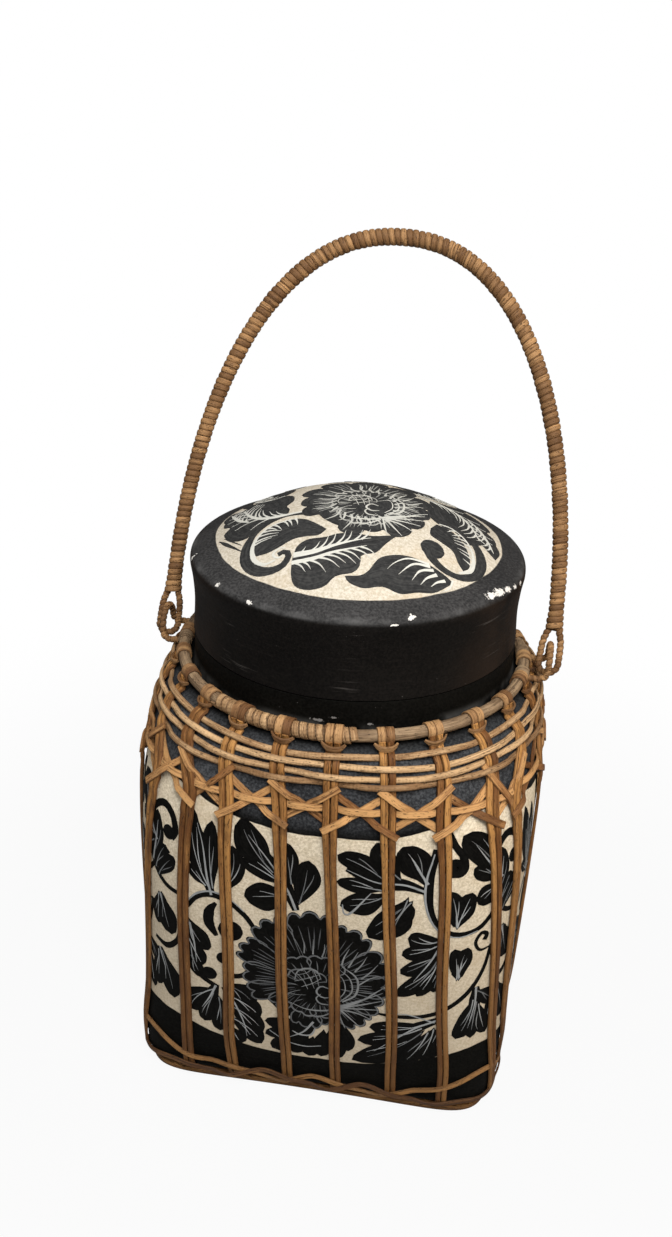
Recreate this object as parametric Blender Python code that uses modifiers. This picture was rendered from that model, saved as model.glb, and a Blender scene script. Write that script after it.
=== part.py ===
"""A painted sticky rice basket: a square-footed basket with a round neck, a domed lid, a net of split
rattan canes hung from a rim hoop, and a cane-wrapped bail handle. Metres, +Z up, front towards -Y."""

import math

import bmesh
import bpy
import numpy as np

mm = 0.001

# Clearances
seat_gap = 0.3 * mm             # between two pieces that touch
cane_seat = 0.45 * mm           # under a cane that lies on the curved wall
lid_clearance = 0.4 * mm        # collar to lid lining, on the radius

# Basket wall
rim_height = 203.6 * mm         # ground to the middle of the rim hoop
base_half = 88.2 * mm           # half width of the square foot
belly_half = 90.6 * mm
belly_height = 50.9 * mm
chest_half = 89.6 * mm
chest_height = 152.7 * mm
shoulder_half = 84.2 * mm
shoulder_drop = 16.3 * mm       # shoulder below the rim
foot_edge_radius = 6.0 * mm
neck_radius = 71.4 * mm
neck_rise = 12.3 * mm           # neck above the rim
wall_thickness = 3.0 * mm
squareness_foot = 10.0          # exponent of the outline: 2 is a circle
squareness_belly = 5.2
squareness_chest = 3.6
corner_gather = 0.14            # how much closer a wall's points stand at its corners
wall_point_count = 48

# Inner basket, whose top is the collar that the lid slides over
collar_radius = 65.8 * mm
collar_rise = 24.0 * mm         # collar above the neck
lining_thickness = 1.8 * mm
lining_play = 1.1 * mm          # inner basket to painted wall
lining_squareness = 6.7         # at its foot, rounder than the painted wall
lining_point_count = 32

# Lid
lid_foot_radius = 71.6 * mm
lid_waist_radius = 70.6 * mm
lid_waist_rise = 14.7 * mm      # each rise is above the lid's bottom edge
lid_ridge_radius = 72.0 * mm
lid_ridge_rise = 31.8 * mm
medallion_radius = 61.2 * mm
medallion_rise = 38.1 * mm
lid_top_rise = 57.3 * mm
lid_crown_thickness = 3.0 * mm
lid_lining_thickness = 1.4 * mm
lid_ridge_rounding = 4.0 * mm
lid_step_count = 32
crown_shares = np.array([0, 0.3, 0.6, 0.85, 1])

# Rattan net
stake_count = 24
stake_first = 3.0               # degrees round from the front, at the rim
stake_shift = {                 # degrees that a stake leaves its place at the rim by: at the band, at the foot
    -8: (4, 4), -7: (6, 6), -6: (8, 8), -5: (11, 11), -4: (11, 9), -3: (8, 7.2), -2: (3.5, 3.3), -1: (2, 4.7),
    0: (0.7, 5.2), 1: (0.4, 6.2), 2: (-2, 3.2), 3: (-4, 1), 4: (-11.5, -8), 5: (-6, -6), 6: (-2, -2),
}
cane_width = 3.25 * mm          # two of these side by side make one stake
cane_thickness = 1.5 * mm
stake_tail = 17.0 * mm          # length tucked under the base
hoop_radius = 76.6 * mm
hoop_rod = 5.2 * mm
weaver_drops = [v * mm for v in (8.2, 11.3, 14.4, 17.5)]   # below the rim
weaver_width = 2.6 * mm
band_drop = 28.4 * mm           # middle of the crossed band below the rim
band_reach = 7.2 * mm           # band nodes above and below its middle
strip_width = 3.0 * mm
strip_thickness = 0.8 * mm
strip_dip = 0.6 * mm            # the inner zigzag dips this far where the two cross
edging_height = 11.8 * mm
edging_reach = 2.8 * mm
edging_corner_lift = 16.0 * mm
foot_strip_width = 4.5 * mm
foot_strip_thickness = 2.4 * mm
foot_strip_inset = 4.6 * mm     # its middle inside the wall's foot
foot_point_count = 40

# Binding wound on the front left of the rim hoop
binding_turn_count = 19
binding_start = -38.0
binding_end = 9.0
binding_cane = 1.2 * mm

# Handle and its ears
hinge_rise = 1.9 * mm           # hinge line above the middle of the rim hoop
handle_lean = math.radians(23.6)
handle_half = 87.1 * mm
handle_shift = 0.8 * mm         # the whole arch, towards the right
handle_skew = 2.2 * mm          # its top, further towards the right
handle_height = 171.2 * mm
handle_squareness = 2.2
handle_rod = 5.2 * mm
handle_turn_count = 24
handle_cane = 1.2 * mm
eye_half = 4.4 * mm
eye_neck_half = 1.95 * mm
eye_length = 22.0 * mm
eye_shoulder = 0.63             # share of its length up to which the eye keeps its width
eye_cane = 3.0 * mm
ear_cane = 3.0 * mm
ear_half = 8.0 * mm
ear_rise = 8.0 * mm             # top of the ear above the hinge line
ear_foot_half = 9.6 * mm
ear_foot_drop = 1.6 * mm        # its feet below the middle of the rim hoop

# Heights that follow
floor_height = foot_strip_thickness + seat_gap + cane_thickness + cane_seat
neck_top = rim_height + neck_rise
lid_bottom = neck_top + seat_gap
collar_top = neck_top + collar_rise
lining_floor = floor_height + wall_thickness + seat_gap
lid_bore = collar_radius + lid_clearance + lid_lining_thickness + seat_gap
hinge_height = rim_height + hinge_rise
eye_centre = hoop_radius + hoop_rod / 2 + 2 * seat_gap + cane_thickness + eye_cane / 2 + eye_half
eye_drop = ear_half - ear_cane / 2 - eye_cane / 2 - seat_gap
stake_lift = cane_seat + cane_thickness / 2
over_stakes = cane_seat + cane_thickness + seat_gap
hoop_clear = hoop_rod / 2 + binding_cane + 4 * seat_gap
strip_rise = strip_thickness + 1.7 * seat_gap - strip_dip

black = (0.035, 0.035, 0.037)
bamboo = (0.55, 0.40, 0.22)
tan = (0.50, 0.30, 0.13)
orange = (0.46, 0.22, 0.08)
brown = (0.33, 0.18, 0.08)


def smooth(x, known_x, known_y):
    """Monotone cubic curve through the known points."""
    xs, ys = np.asarray(known_x, float), np.asarray(known_y, float)
    step = np.diff(xs)
    slope = np.diff(ys) / step
    turn = np.zeros_like(ys)
    same = slope[:-1] * slope[1:] > 0
    w1 = 2 * step[1:] + step[:-1]
    w2 = step[1:] + 2 * step[:-1]
    safe = np.where(same, slope[:-1], 1.0), np.where(same, slope[1:], 1.0)
    turn[1:-1] = np.where(same, (w1 + w2) / (w1 / safe[0] + w2 / safe[1]), 0.0)
    turn[0], turn[-1] = slope[0], slope[-1]
    i = np.clip(np.searchsorted(xs, x) - 1, 0, len(xs) - 2)
    t = (x - xs[i]) / step[i]
    rise = ys[i] * (1 + 2 * t) * (1 - t) ** 2 + ys[i + 1] * t * t * (3 - 2 * t)
    return rise + step[i] * (turn[i] * t * (1 - t) ** 2 - turn[i + 1] * t * t * (1 - t))


def wall_controls():
    """Height, half width and squareness of the painted wall, from the top of its rounded foot up."""
    shoulder = rim_height - shoulder_drop
    return [
        (floor_height + foot_edge_radius, base_half, squareness_foot),
        (belly_height, belly_half, squareness_belly),
        (chest_height, chest_half, squareness_chest),
        (shoulder, shoulder_half, 2.5),
        (shoulder + 0.52 * shoulder_drop, (shoulder_half + hoop_radius) / 2, 2.15),
        (rim_height - hoop_clear, hoop_radius, 2.03),
        (rim_height - 0.48 * hoop_clear, neck_radius + 2 * seat_gap, 2.0),
        (neck_top, neck_radius, 2.0),
    ]


def lining_controls():
    """The same for the inner basket, which narrows to the collar."""
    inset = wall_thickness + lining_play
    shoulder = rim_height - shoulder_drop
    return [
        (lining_floor + foot_edge_radius, base_half - inset, lining_squareness),
        (belly_height, belly_half - inset, squareness_belly),
        (chest_height, chest_half - inset, squareness_chest),
        (shoulder - wall_thickness, shoulder_half - inset, 2.6),
        (rim_height - 3 * wall_thickness, (collar_radius + shoulder_half - inset) / 2 - seat_gap, 2.1),
        (rim_height - hoop_clear, collar_radius + wall_thickness / 2, 2.0),
        (rim_height - wall_thickness / 2, collar_radius, 2.0),
        (collar_top, collar_radius, 2.0),
    ]


def outline(azimuth, height, controls):
    """Points of a wall with a rounded foot, azimuth in radians from the front towards +X."""
    z, half, power = (np.array(column) for column in zip(*controls))
    width = smooth(np.clip(height, z[0], z[-1]), z, half)
    n = smooth(np.clip(height, z[0], z[-1]), z, power)
    under = np.clip((z[0] - height) / foot_edge_radius, 0, 1)
    width = width - foot_edge_radius * (1 - np.sqrt(1 - under**2))
    s, c = np.sin(azimuth), np.cos(azimuth)
    r = width / (np.abs(s) ** n + np.abs(c) ** n) ** (1 / n)
    return np.stack([r * s, -r * c, height + 0 * r], axis=-1)


def wall(azimuth, height):
    return outline(azimuth, height, wall_controls())


def wall_normal(azimuth, height):
    d_azimuth, d_height = 1e-3, 0.2 * mm
    along = wall(azimuth + d_azimuth, height) - wall(azimuth - d_azimuth, height)
    up = wall(azimuth, height + d_height) - wall(azimuth, height - d_height)
    normal = np.cross(along, up)
    return normal / np.linalg.norm(normal, axis=-1, keepdims=True)


def corner_rich(count):
    """Azimuths round the wall, closer together at its corners."""
    t = np.arange(count) * 2 * math.pi / count
    return t + corner_gather * np.sin(4 * t)


def unit(v):
    return v / np.linalg.norm(v, axis=-1, keepdims=True)


def tangents(points, closed):
    if closed:
        return unit(np.roll(points, -1, axis=0) - np.roll(points, 1, axis=0))
    return unit(np.gradient(points, axis=0))


def material(name, colour, roughness):
    made = bpy.data.materials.get(name) or bpy.data.materials.new(name)
    made.use_nodes = True
    shader = made.node_tree.nodes["Principled BSDF"]
    shader.inputs["Base Color"].default_value = (*colour, 1.0)
    shader.inputs["Roughness"].default_value = roughness
    shader.inputs["Metallic"].default_value = 0.0
    made.diffuse_color = (*colour, 1.0)
    return made


def place(obj, collection, finish, parent=None):
    for held in list(obj.users_collection):
        held.objects.unlink(obj)
    collection.objects.link(obj)
    obj.data.materials.clear()
    obj.data.materials.append(finish)
    obj.parent = parent
    if obj.type == "MESH":
        obj.data.shade_smooth()
        obj.data.set_sharp_from_angle(angle=math.radians(35))
    return obj


def loft(name, rows, closed, caps=True):
    """A skin over rows of section points. closed joins the last row to the first."""
    n_rows, n_points = rows.shape[:2]
    bm = bmesh.new()
    verts = [[bm.verts.new(p) for p in row] for row in rows]
    for i in range(n_rows if closed else n_rows - 1):
        a, b = verts[i], verts[(i + 1) % n_rows]
        for j in range(n_points):
            k = (j + 1) % n_points
            bm.faces.new((a[j], a[k], b[k], b[j]))
    if caps and not closed:
        bm.faces.new(verts[0][::-1])
        bm.faces.new(verts[-1])
    bmesh.ops.recalc_face_normals(bm, faces=bm.faces)
    mesh = bpy.data.meshes.new(name)
    bm.to_mesh(mesh)
    bm.free()
    return bpy.data.objects.new(name, mesh)


def ribbon(name, points, outward, section, closed):
    """A strip whose section is (across, outward) pairs, carried along points."""
    along = tangents(points, closed)
    across = unit(np.cross(along, outward))
    out = np.cross(across, along)
    a, o = np.array(section).T
    rows = points[:, None] + a[None, :, None] * across[:, None] + o[None, :, None] * out[:, None]
    return loft(name, rows, closed)


def flat_section(width, thickness):
    w, t = width / 2, thickness / 2
    return [(-w, -t), (w, -t), (w, t), (-w, t)]


def tube(name, points, diameter, closed=False, sides=1):
    curve = bpy.data.curves.new(name, "CURVE")
    curve.dimensions = "3D"
    curve.bevel_depth = diameter / 2
    curve.bevel_resolution = sides
    curve.use_fill_caps = True
    spline = curve.splines.new("POLY")
    spline.points.add(len(points) - 1)
    for point, xyz in zip(spline.points, points):
        point.co = (*xyz, 1.0)
    spline.use_cyclic_u = closed
    return bpy.data.objects.new(name, curve)


def turned(name, profile, steps):
    """A profile of (radius, height) pairs turned round Z, outer side first, top to bottom."""
    mesh = bpy.data.meshes.new(name)
    mesh.from_pydata([(r, 0, z) for r, z in profile], [(i, i + 1) for i in range(len(profile) - 1)], [])
    obj = bpy.data.objects.new(name, mesh)
    screw = obj.modifiers.new("Turn", "SCREW")
    screw.angle = 2 * math.pi
    screw.steps = screw.render_steps = steps
    screw.use_merge_vertices = True
    screw.merge_threshold = 0.00002
    return obj


def resample(points, count):
    """The same open route with its points an equal way apart."""
    way = np.concatenate([[0], np.cumsum(np.linalg.norm(np.diff(points, axis=0), axis=1))])
    at = np.linspace(0, way[-1], count)
    return np.stack([np.interp(at, way, points[:, i]) for i in range(3)], axis=1)


def wound(route, radius, turns, points_a_turn, beside):
    """A helix of so many turns about a route; beside is a direction that the route never takes."""
    centre = resample(route, turns * points_a_turn + 1)
    along = tangents(centre, False)
    side = unit(np.cross(along, beside))
    other = np.cross(along, side)
    angle = (np.arange(len(centre)) * 2 * math.pi / points_a_turn)[:, None]
    return centre + radius * (np.cos(angle) * side + np.sin(angle) * other)


def own_gap(points, diameter, points_a_turn):
    """Least clear distance between the turns of a winding."""
    best = 1.0
    for shift in range(points_a_turn // 2 + 1, 2 * points_a_turn):
        best = min(best, np.linalg.norm(points[shift:] - points[:-shift], axis=1).min())
    return best - diameter


def shell(name, controls, heights, count, thickness):
    """An open pot: rows of the outline from the floor's middle up, thickened inwards."""
    azimuths = corner_rich(count)
    rows = np.stack([outline(azimuths, z, controls) for z in heights])
    obj = loft(name, rows, closed=False, caps=False)
    bm = bmesh.new()
    bm.from_mesh(obj.data)
    bm.verts.ensure_lookup_table()
    bm.faces.new([bm.verts[i] for i in range(count)][::-1])
    bmesh.ops.recalc_face_normals(bm, faces=bm.faces)
    bm.to_mesh(obj.data)
    bm.free()
    thick = obj.modifiers.new("Wall", "SOLIDIFY")
    thick.thickness = thickness
    thick.offset = -1
    thick.use_even_offset = True
    return obj


def rounded_foot_heights(floor):
    return [floor + foot_edge_radius * (1 - math.cos(math.radians(a))) for a in (0, 35, 62, 90)]


def body_shell():
    shoulder = rim_height - shoulder_drop
    heights = rounded_foot_heights(floor_height) + [belly_height, chest_height]
    heights += [(chest_height + shoulder) / 2, shoulder, shoulder + 0.52 * shoulder_drop]
    heights += [rim_height - hoop_clear, rim_height - 0.48 * hoop_clear, neck_top]
    return shell("body_shell", wall_controls(), heights, wall_point_count, wall_thickness)


def inner_basket():
    shoulder = rim_height - shoulder_drop
    heights = rounded_foot_heights(lining_floor) + [belly_height, chest_height]
    heights += [shoulder - wall_thickness, rim_height - 3 * wall_thickness]
    heights += [rim_height - hoop_clear, rim_height - wall_thickness / 2, collar_top]
    return shell("inner_basket", lining_controls(), heights, lining_point_count, lining_thickness)


def dome(radius):
    """Height of the lid's crown at a radius, a parabola from its top to the edge of the medallion."""
    return lid_bottom + lid_top_rise - (lid_top_rise - medallion_rise) * (radius / medallion_radius) ** 2


def quadratic(start, corner, end, count):
    t = np.linspace(0, 1, count)[:, None]
    start, corner, end = (np.array(p) for p in (start, corner, end))
    return (1 - t) ** 2 * start + 2 * t * (1 - t) * corner + t * t * end


def lid_shell():
    ridge = lid_bottom + lid_ridge_rise
    crown = [(r, dome(r)) for r in medallion_radius * np.array([0, 0.3, 0.55, 0.8])]
    edge = quadratic(
        (medallion_radius, dome(medallion_radius)),
        (lid_ridge_radius, ridge + 0.4 * lid_ridge_rounding),
        (lid_ridge_radius - 0.05 * lid_ridge_rounding, ridge - lid_ridge_rounding),
        5,
    )
    side = [
        (lid_waist_radius, lid_bottom + lid_waist_rise),
        (lid_foot_radius, lid_bottom),
        (lid_bore, lid_bottom),
    ]
    under = [(r, dome(r) - lid_crown_thickness) for r in lid_bore * crown_shares[::-1]]
    profile = crown + [tuple(p) for p in edge] + side + under
    return turned("lid_shell", profile, lid_step_count)


def lid_lining():
    gap = lid_crown_thickness + seat_gap
    radius = lid_bore - seat_gap
    inner = radius - lid_lining_thickness
    over = [(r, dome(r) - gap) for r in radius * crown_shares]
    foot = lid_bottom + seat_gap
    under = [(r, dome(r) - gap - lid_lining_thickness) for r in inner * crown_shares[::-1]]
    return turned("lid_lining", over + [(radius, foot), (inner, foot)] + under, lid_step_count)


def hoop_point(azimuth):
    east, south = hoop_radius * np.sin(azimuth), hoop_radius * np.cos(azimuth)
    return np.stack([east, -south, rim_height + 0 * azimuth], axis=-1)


def rim_hoop():
    bpy.ops.mesh.primitive_torus_add(
        location=(0, 0, rim_height),
        major_radius=hoop_radius,
        minor_radius=hoop_rod / 2,
        major_segments=48,
        minor_segments=6,
    )
    obj = bpy.context.object
    obj.name = "rim_hoop"
    return obj


def hoop_binding():
    points_a_turn = 8
    azimuth = np.radians(np.linspace(binding_start, binding_end, 80))
    radius = hoop_rod / 2 + seat_gap + binding_cane / 2
    points = wound(hoop_point(azimuth), radius, binding_turn_count, points_a_turn, np.array([0, 0, 1.0]))
    least = own_gap(points, binding_cane, points_a_turn) / mm
    print("hoop_binding least gap to itself, mm:", round(least, 2))
    return tube("hoop_binding", points, binding_cane)


def stake_azimuth(k, height):
    """The stakes stand evenly at the rim, gather towards the front corners at the band and lean below it."""
    at_rim = stake_first + k * 360 / stake_count
    above, below = rim_height - weaver_drops[0], rim_height - band_drop - band_reach
    gathered = np.clip((above - height) / (above - below), 0, 1)
    leaned = np.clip((below - height) / (below - floor_height), 0, 1)
    at_band, at_foot = stake_shift.get(k, (0, 0))
    shift = at_band + (at_foot - at_band) * leaned
    return np.radians(at_rim + shift * gathered * gathered * (3 - 2 * gathered))


def pair_section():
    """Two rounded canes side by side, with the groove between them."""
    w, t = cane_width, cane_thickness
    return [(-w, -t / 2), (w, -t / 2), (0.62 * w, t / 2), (0, 0.05 * t), (-0.62 * w, t / 2)]


def stake(k):
    """One pair of canes, from its tail under the base up the wall and over the hoop."""
    shoulder = rim_height - shoulder_drop
    low = floor_height + foot_edge_radius
    foot_azimuth = stake_azimuth(k, low)
    base = wall(foot_azimuth, floor_height)
    inward = unit(wall_normal(foot_azimuth, low) * np.array([1, 1, 0]))
    down = np.array([0, 0, -1.0])
    points = [base - inward * stake_tail + down * stake_lift, base + down * stake_lift]
    normals = [down, down]
    heights = rounded_foot_heights(floor_height)[1:]
    heights += [belly_height, chest_height]
    last = rim_height - weaver_drops[0] + weaver_width / 2
    heights += [(chest_height + shoulder) / 2, shoulder, (shoulder + last) / 2, last]
    for z in heights:
        azimuth = stake_azimuth(k, z)
        normal = wall_normal(azimuth, z)
        points.append(wall(azimuth, z) + normal * stake_lift)
        normals.append(normal)
    azimuth = stake_azimuth(k, rim_height)
    bound = binding_start - 3 < math.degrees(azimuth) < binding_end + 3
    over = hoop_rod / 2 + seat_gap + cane_thickness / 2 + (binding_cane + seat_gap if bound else 0)
    radial = np.array([math.sin(azimuth), -math.cos(azimuth), 0])
    for angle in (-20, 12, 44, 76, 115):
        a = math.radians(angle)
        normal = radial * math.cos(a) + np.array([0, 0, 1]) * math.sin(a)
        points.append(hoop_point(azimuth) + normal * over)
        normals.append(normal)
    name = f"stake_{k % stake_count + 1:02d}"
    return ribbon(name, np.array(points), np.array(normals), pair_section(), closed=False)


def weaver(number, drop):
    """A level ring round the outside of the stakes, with a station at each one and between."""
    azimuth = np.radians(stake_first + np.arange(2 * stake_count) * 180 / stake_count)
    height = np.full(len(azimuth), rim_height - drop)
    normal = wall_normal(azimuth, height)
    points = wall(azimuth, height) + normal * (over_stakes + 0.5 * seat_gap + cane_thickness / 2)
    section = flat_section(weaver_width, cane_thickness)
    return ribbon(f"weaver_{number}", points, normal, section, closed=True)


def band_stations():
    """Azimuths round the band and how far each is from the last stake towards the next, 0 to 1."""
    at_band = rim_height - band_drop
    low, high = -(stake_count // 2), stake_count - stake_count // 2
    stakes = np.array([float(stake_azimuth(k, at_band)) for k in range(low, high)])
    ahead = np.append(stakes[1:], stakes[0] + 2 * math.pi)
    share = np.array([0, 0.25, 0.5, 0.75])
    azimuth = stakes[:, None] + (ahead - stakes)[:, None] * share
    return azimuth.ravel(), np.tile(share, stake_count)


def crossed_band(name, side):
    """A zigzag strip, up at one stake and down at the next; side is 1 or -1 and picks which."""
    azimuth, share = band_stations()
    upwards = np.repeat(np.where(np.arange(stake_count) % 2 == 0, -1, 1), 4)
    height = rim_height - band_drop + side * band_reach * upwards * (2 * share - 1)
    at_crossing = -strip_dip if side > 0 else strip_rise
    lift = over_stakes + strip_thickness / 2 + at_crossing * (1 - np.abs(2 * share - 1))
    normal = wall_normal(azimuth, height)
    points = wall(azimuth, height) + normal * lift[:, None]
    return ribbon(name, points, normal, flat_section(strip_width, strip_thickness), closed=True)


def band_bar():
    """The level strip along the middle of the band, outside both zigzags."""
    azimuth, share = (v[::2] for v in band_stations())
    height = np.full(len(azimuth), rim_height - band_drop)
    over_zigzags = strip_rise + 1.7 * (strip_thickness + seat_gap)
    lift = over_stakes + strip_thickness / 2 + over_zigzags * (1 - np.abs(2 * share - 1))
    normal = wall_normal(azimuth, height)
    points = wall(azimuth, height) + normal * lift[:, None]
    return ribbon("band_bar", points, normal, flat_section(strip_width, strip_thickness), closed=True)


def edging_stations():
    """Azimuths at each stake and half way to the next, closer together round the wall's corners."""
    even = stake_first + np.arange(2 * stake_count) * 180 / stake_count
    from_corner = np.mod(even, 90) - 45
    level = even[np.abs(from_corner) > 13]
    round_corner = (np.arange(-4, 5) * 3 + 45 + np.arange(4)[:, None] * 90).ravel()
    return np.radians(np.sort(np.concatenate([level, round_corner])))


def edging(name, side):
    """One of the two low strips that cross between the stakes and climb over the black corners."""
    def height_of(a):
        corner = np.exp(-((np.mod(a, math.pi / 2) - math.pi / 4) / math.radians(11)) ** 2)
        wave = edging_reach * np.cos(stake_count / 2 * (a - math.radians(stake_first)))
        return edging_height + side * wave * (1 - corner) + edging_corner_lift * corner * (side > 0)

    lift = over_stakes + strip_thickness / 2 + (strip_thickness + 2.5 * seat_gap if side < 0 else 0)
    azimuth = edging_stations()
    height = height_of(azimuth)
    normal = wall_normal(azimuth, height)
    points = wall(azimuth, height) + normal * lift
    return ribbon(name, points, normal, flat_section(strip_width, strip_thickness), closed=True)


def foot_strip():
    azimuth = corner_rich(foot_point_count)
    edge = wall(azimuth, floor_height + foot_edge_radius)
    inward = unit(edge * np.array([1, 1, 0]))
    points = edge - inward * foot_strip_inset
    points[:, 2] = foot_strip_thickness / 2
    down = np.tile([0, 0, -1.0], (len(points), 1))
    section = flat_section(foot_strip_width, foot_strip_thickness)
    return ribbon("foot_strip", points, down, section, closed=True)


def arch(count):
    """The handle's middle line in its own upright plane, from the left eye over to the right one."""
    t = np.linspace(0, math.pi, 6000)
    p = 2 / handle_squareness
    x = -handle_half * np.sign(np.cos(t)) * np.abs(np.cos(t)) ** p
    z = handle_height * np.sin(t) ** p
    points = np.stack([x + handle_shift + handle_skew * z / handle_height, 0 * x, z], axis=1)
    start = eye_length - eye_drop + eye_cane / 2 + seat_gap
    return resample(points[z >= start], count)


def eye(side):
    """A long drop-shaped loop of cane round the ear, its narrow top under the end of the rod."""
    low = np.radians(np.linspace(180, 360, 9))
    top = np.radians(np.linspace(0, 180, 5))
    waist = 0.98 * eye_half
    x = np.concatenate([eye_half * np.cos(low), [waist], eye_neck_half * np.cos(top), [-waist]])
    z = np.concatenate([
        eye_half * (1 + np.sin(low)),
        [eye_length * eye_shoulder],
        eye_length - eye_neck_half * (1 - np.sin(top)),
        [eye_length * eye_shoulder],
    ])
    rod_end = abs(arch(2)[-1 if side > 0 else 0][0])
    middle = eye_centre + (rod_end - eye_centre) * z / eye_length
    return np.stack([side * (middle + x), 0 * x, z - eye_drop], axis=1)


def ear(side):
    """A bow of cane that stands out from the hoop, with its two feet against it."""
    arc = np.radians(np.linspace(0, 180, 9))
    bow = np.stack([
        np.full(len(arc), eye_centre),
        ear_half * np.cos(arc),
        hinge_height + ear_rise * np.sin(arc),
    ], axis=1)
    foot_height = rim_height - ear_foot_drop
    hoop_out = math.sqrt((hoop_rod / 2) ** 2 - ear_foot_drop**2)
    foot_x = math.sqrt(hoop_radius**2 - ear_foot_half**2) + hoop_out + 1.5 * seat_gap
    bend = np.array([
        [foot_x, ear_foot_half, foot_height],
        [eye_centre - 0.9 * ear_cane, ear_foot_half, foot_height],
        [eye_centre - 0.1 * ear_cane, (ear_half + ear_foot_half) / 2, hinge_height - 0.6 * ear_cane],
    ])
    other = bend[::-1] * np.array([1, -1, 1])
    return np.concatenate([bend, bow, other]) * np.array([side, 1, 1])


def build():
    for obj in list(bpy.data.objects):
        bpy.data.objects.remove(obj, do_unlink=True)
    parts = bpy.data.collections.new("sticky_rice_basket")
    bpy.context.scene.collection.children.link(parts)

    lacquer = material("black_lacquer", black, 0.75)
    woven = material("woven_bamboo", bamboo, 0.7)
    cane = material("split_rattan", tan, 0.6)
    strip = material("rattan_strip", orange, 0.6)
    grip = material("handle_cane", brown, 0.55)

    place(body_shell(), parts, lacquer)
    place(inner_basket(), parts, woven)
    place(rim_hoop(), parts, cane)
    place(hoop_binding(), parts, cane)
    for k in range(-stake_count // 2, stake_count - stake_count // 2):
        place(stake(k), parts, cane)
    for number, drop in enumerate(weaver_drops, 1):
        place(weaver(number, drop), parts, cane)
    place(crossed_band("band_zigzag_a", 1), parts, strip)
    place(crossed_band("band_zigzag_b", -1), parts, strip)
    place(band_bar(), parts, strip)
    place(edging("edging_a", 1), parts, strip)
    place(edging("edging_b", -1), parts, strip)
    place(foot_strip(), parts, cane)

    lid_axis = bpy.data.objects.new("lid_axis", None)
    parts.objects.link(lid_axis)
    for obj in (lid_shell(), lid_lining()):
        place(obj, parts, lacquer if obj.name == "lid_shell" else woven, lid_axis)

    handle_axis = bpy.data.objects.new("handle_axis", None)
    handle_axis.location = (0, 0, hinge_height)
    handle_axis.rotation_euler = (-handle_lean, 0, 0)
    parts.objects.link(handle_axis)
    place(tube("handle_core", arch(30), handle_rod), parts, grip, handle_axis)
    points_a_turn = 8
    radius = handle_rod / 2 + 2 * seat_gap + handle_cane / 2
    turns = wound(arch(400), radius, handle_turn_count, points_a_turn, np.array([0, 1.0, 0]))
    least = own_gap(turns, handle_cane, points_a_turn) / mm
    print("handle_wrap least gap to itself, mm:", round(least, 2))
    place(tube("handle_wrap", turns, handle_cane), parts, grip, handle_axis)
    for side, word in ((-1, "left"), (1, "right")):
        place(tube(f"handle_eye_{word}", eye(side), eye_cane, closed=True), parts, grip, handle_axis)
        place(tube(f"ear_{word}", ear(side), ear_cane), parts, grip)


build()
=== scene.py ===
import math
from functools import partialmethod

import bpy
import numpy as np
from mathutils import Matrix, Vector

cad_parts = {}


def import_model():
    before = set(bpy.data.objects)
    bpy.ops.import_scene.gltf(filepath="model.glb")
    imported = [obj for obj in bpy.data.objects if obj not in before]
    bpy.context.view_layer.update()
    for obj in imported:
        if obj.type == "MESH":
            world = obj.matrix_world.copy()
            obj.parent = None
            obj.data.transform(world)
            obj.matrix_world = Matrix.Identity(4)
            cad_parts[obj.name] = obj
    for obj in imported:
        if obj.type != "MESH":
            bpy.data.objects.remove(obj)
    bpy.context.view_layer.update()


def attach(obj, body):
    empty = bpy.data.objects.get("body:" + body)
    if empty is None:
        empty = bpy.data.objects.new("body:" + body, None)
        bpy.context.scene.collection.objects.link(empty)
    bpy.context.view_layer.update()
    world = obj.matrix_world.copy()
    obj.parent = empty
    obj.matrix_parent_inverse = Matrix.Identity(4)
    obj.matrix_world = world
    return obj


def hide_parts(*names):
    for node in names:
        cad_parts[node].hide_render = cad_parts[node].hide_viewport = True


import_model()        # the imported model; everything below is in its frame, worked out in millimetres
mm = 0.001
upward = np.array([0, 0, 1.0])
sharpAngle = math.radians(40)       # edges that turn by more stay sharp
paintEdge = 0.4 * mm                # a painted edge fades over this
dice = np.random.default_rng(11)
print("frame loaded")


# Curves and surfaces

def unit(v):
    return v / np.linalg.norm(v, axis=-1, keepdims=True)


def metres(values):
    return [v * mm for v in values]


def circle(count):
    # even angles once round
    return np.arange(count) * 2 * math.pi / count


def cornered(count):
    # angles once round that gather at the four corners: t + 0.14 sin 4t
    t = circle(count)
    return t + 0.14 * np.sin(4 * t)


def monotone(x, xs, ys):
    # monotone cubic: slope at a known point = weighted harmonic mean of the slopes on its two sides
    xs, ys = np.asarray(xs, float), np.asarray(ys, float)
    step = np.diff(xs)
    slope = np.diff(ys) / step
    turn = np.zeros_like(ys)
    same = slope[:-1] * slope[1:] > 0
    w1, w2 = 2 * step[1:] + step[:-1], step[1:] + 2 * step[:-1]
    before, after = np.where(same, slope[:-1], 1.0), np.where(same, slope[1:], 1.0)
    turn[1:-1] = np.where(same, (w1 + w2) / (w1 / before + w2 / after), 0.0)
    turn[0], turn[-1] = slope[0], slope[-1]
    i = np.clip(np.searchsorted(xs, x) - 1, 0, len(xs) - 2)
    t = (x - xs[i]) / step[i]
    value = ys[i] * (1 + 2 * t) * (1 - t) ** 2 + ys[i + 1] * t * t * (3 - 2 * t)
    return value + step[i] * (turn[i] * t * (1 - t) ** 2 - turn[i + 1] * t * t * (1 - t))


def ease(t):
    # 0 to 1 with flat ends: 3t^2 - 2t^3
    t = np.clip(t, 0, 1)
    return t * t * (3 - 2 * t)


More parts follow.
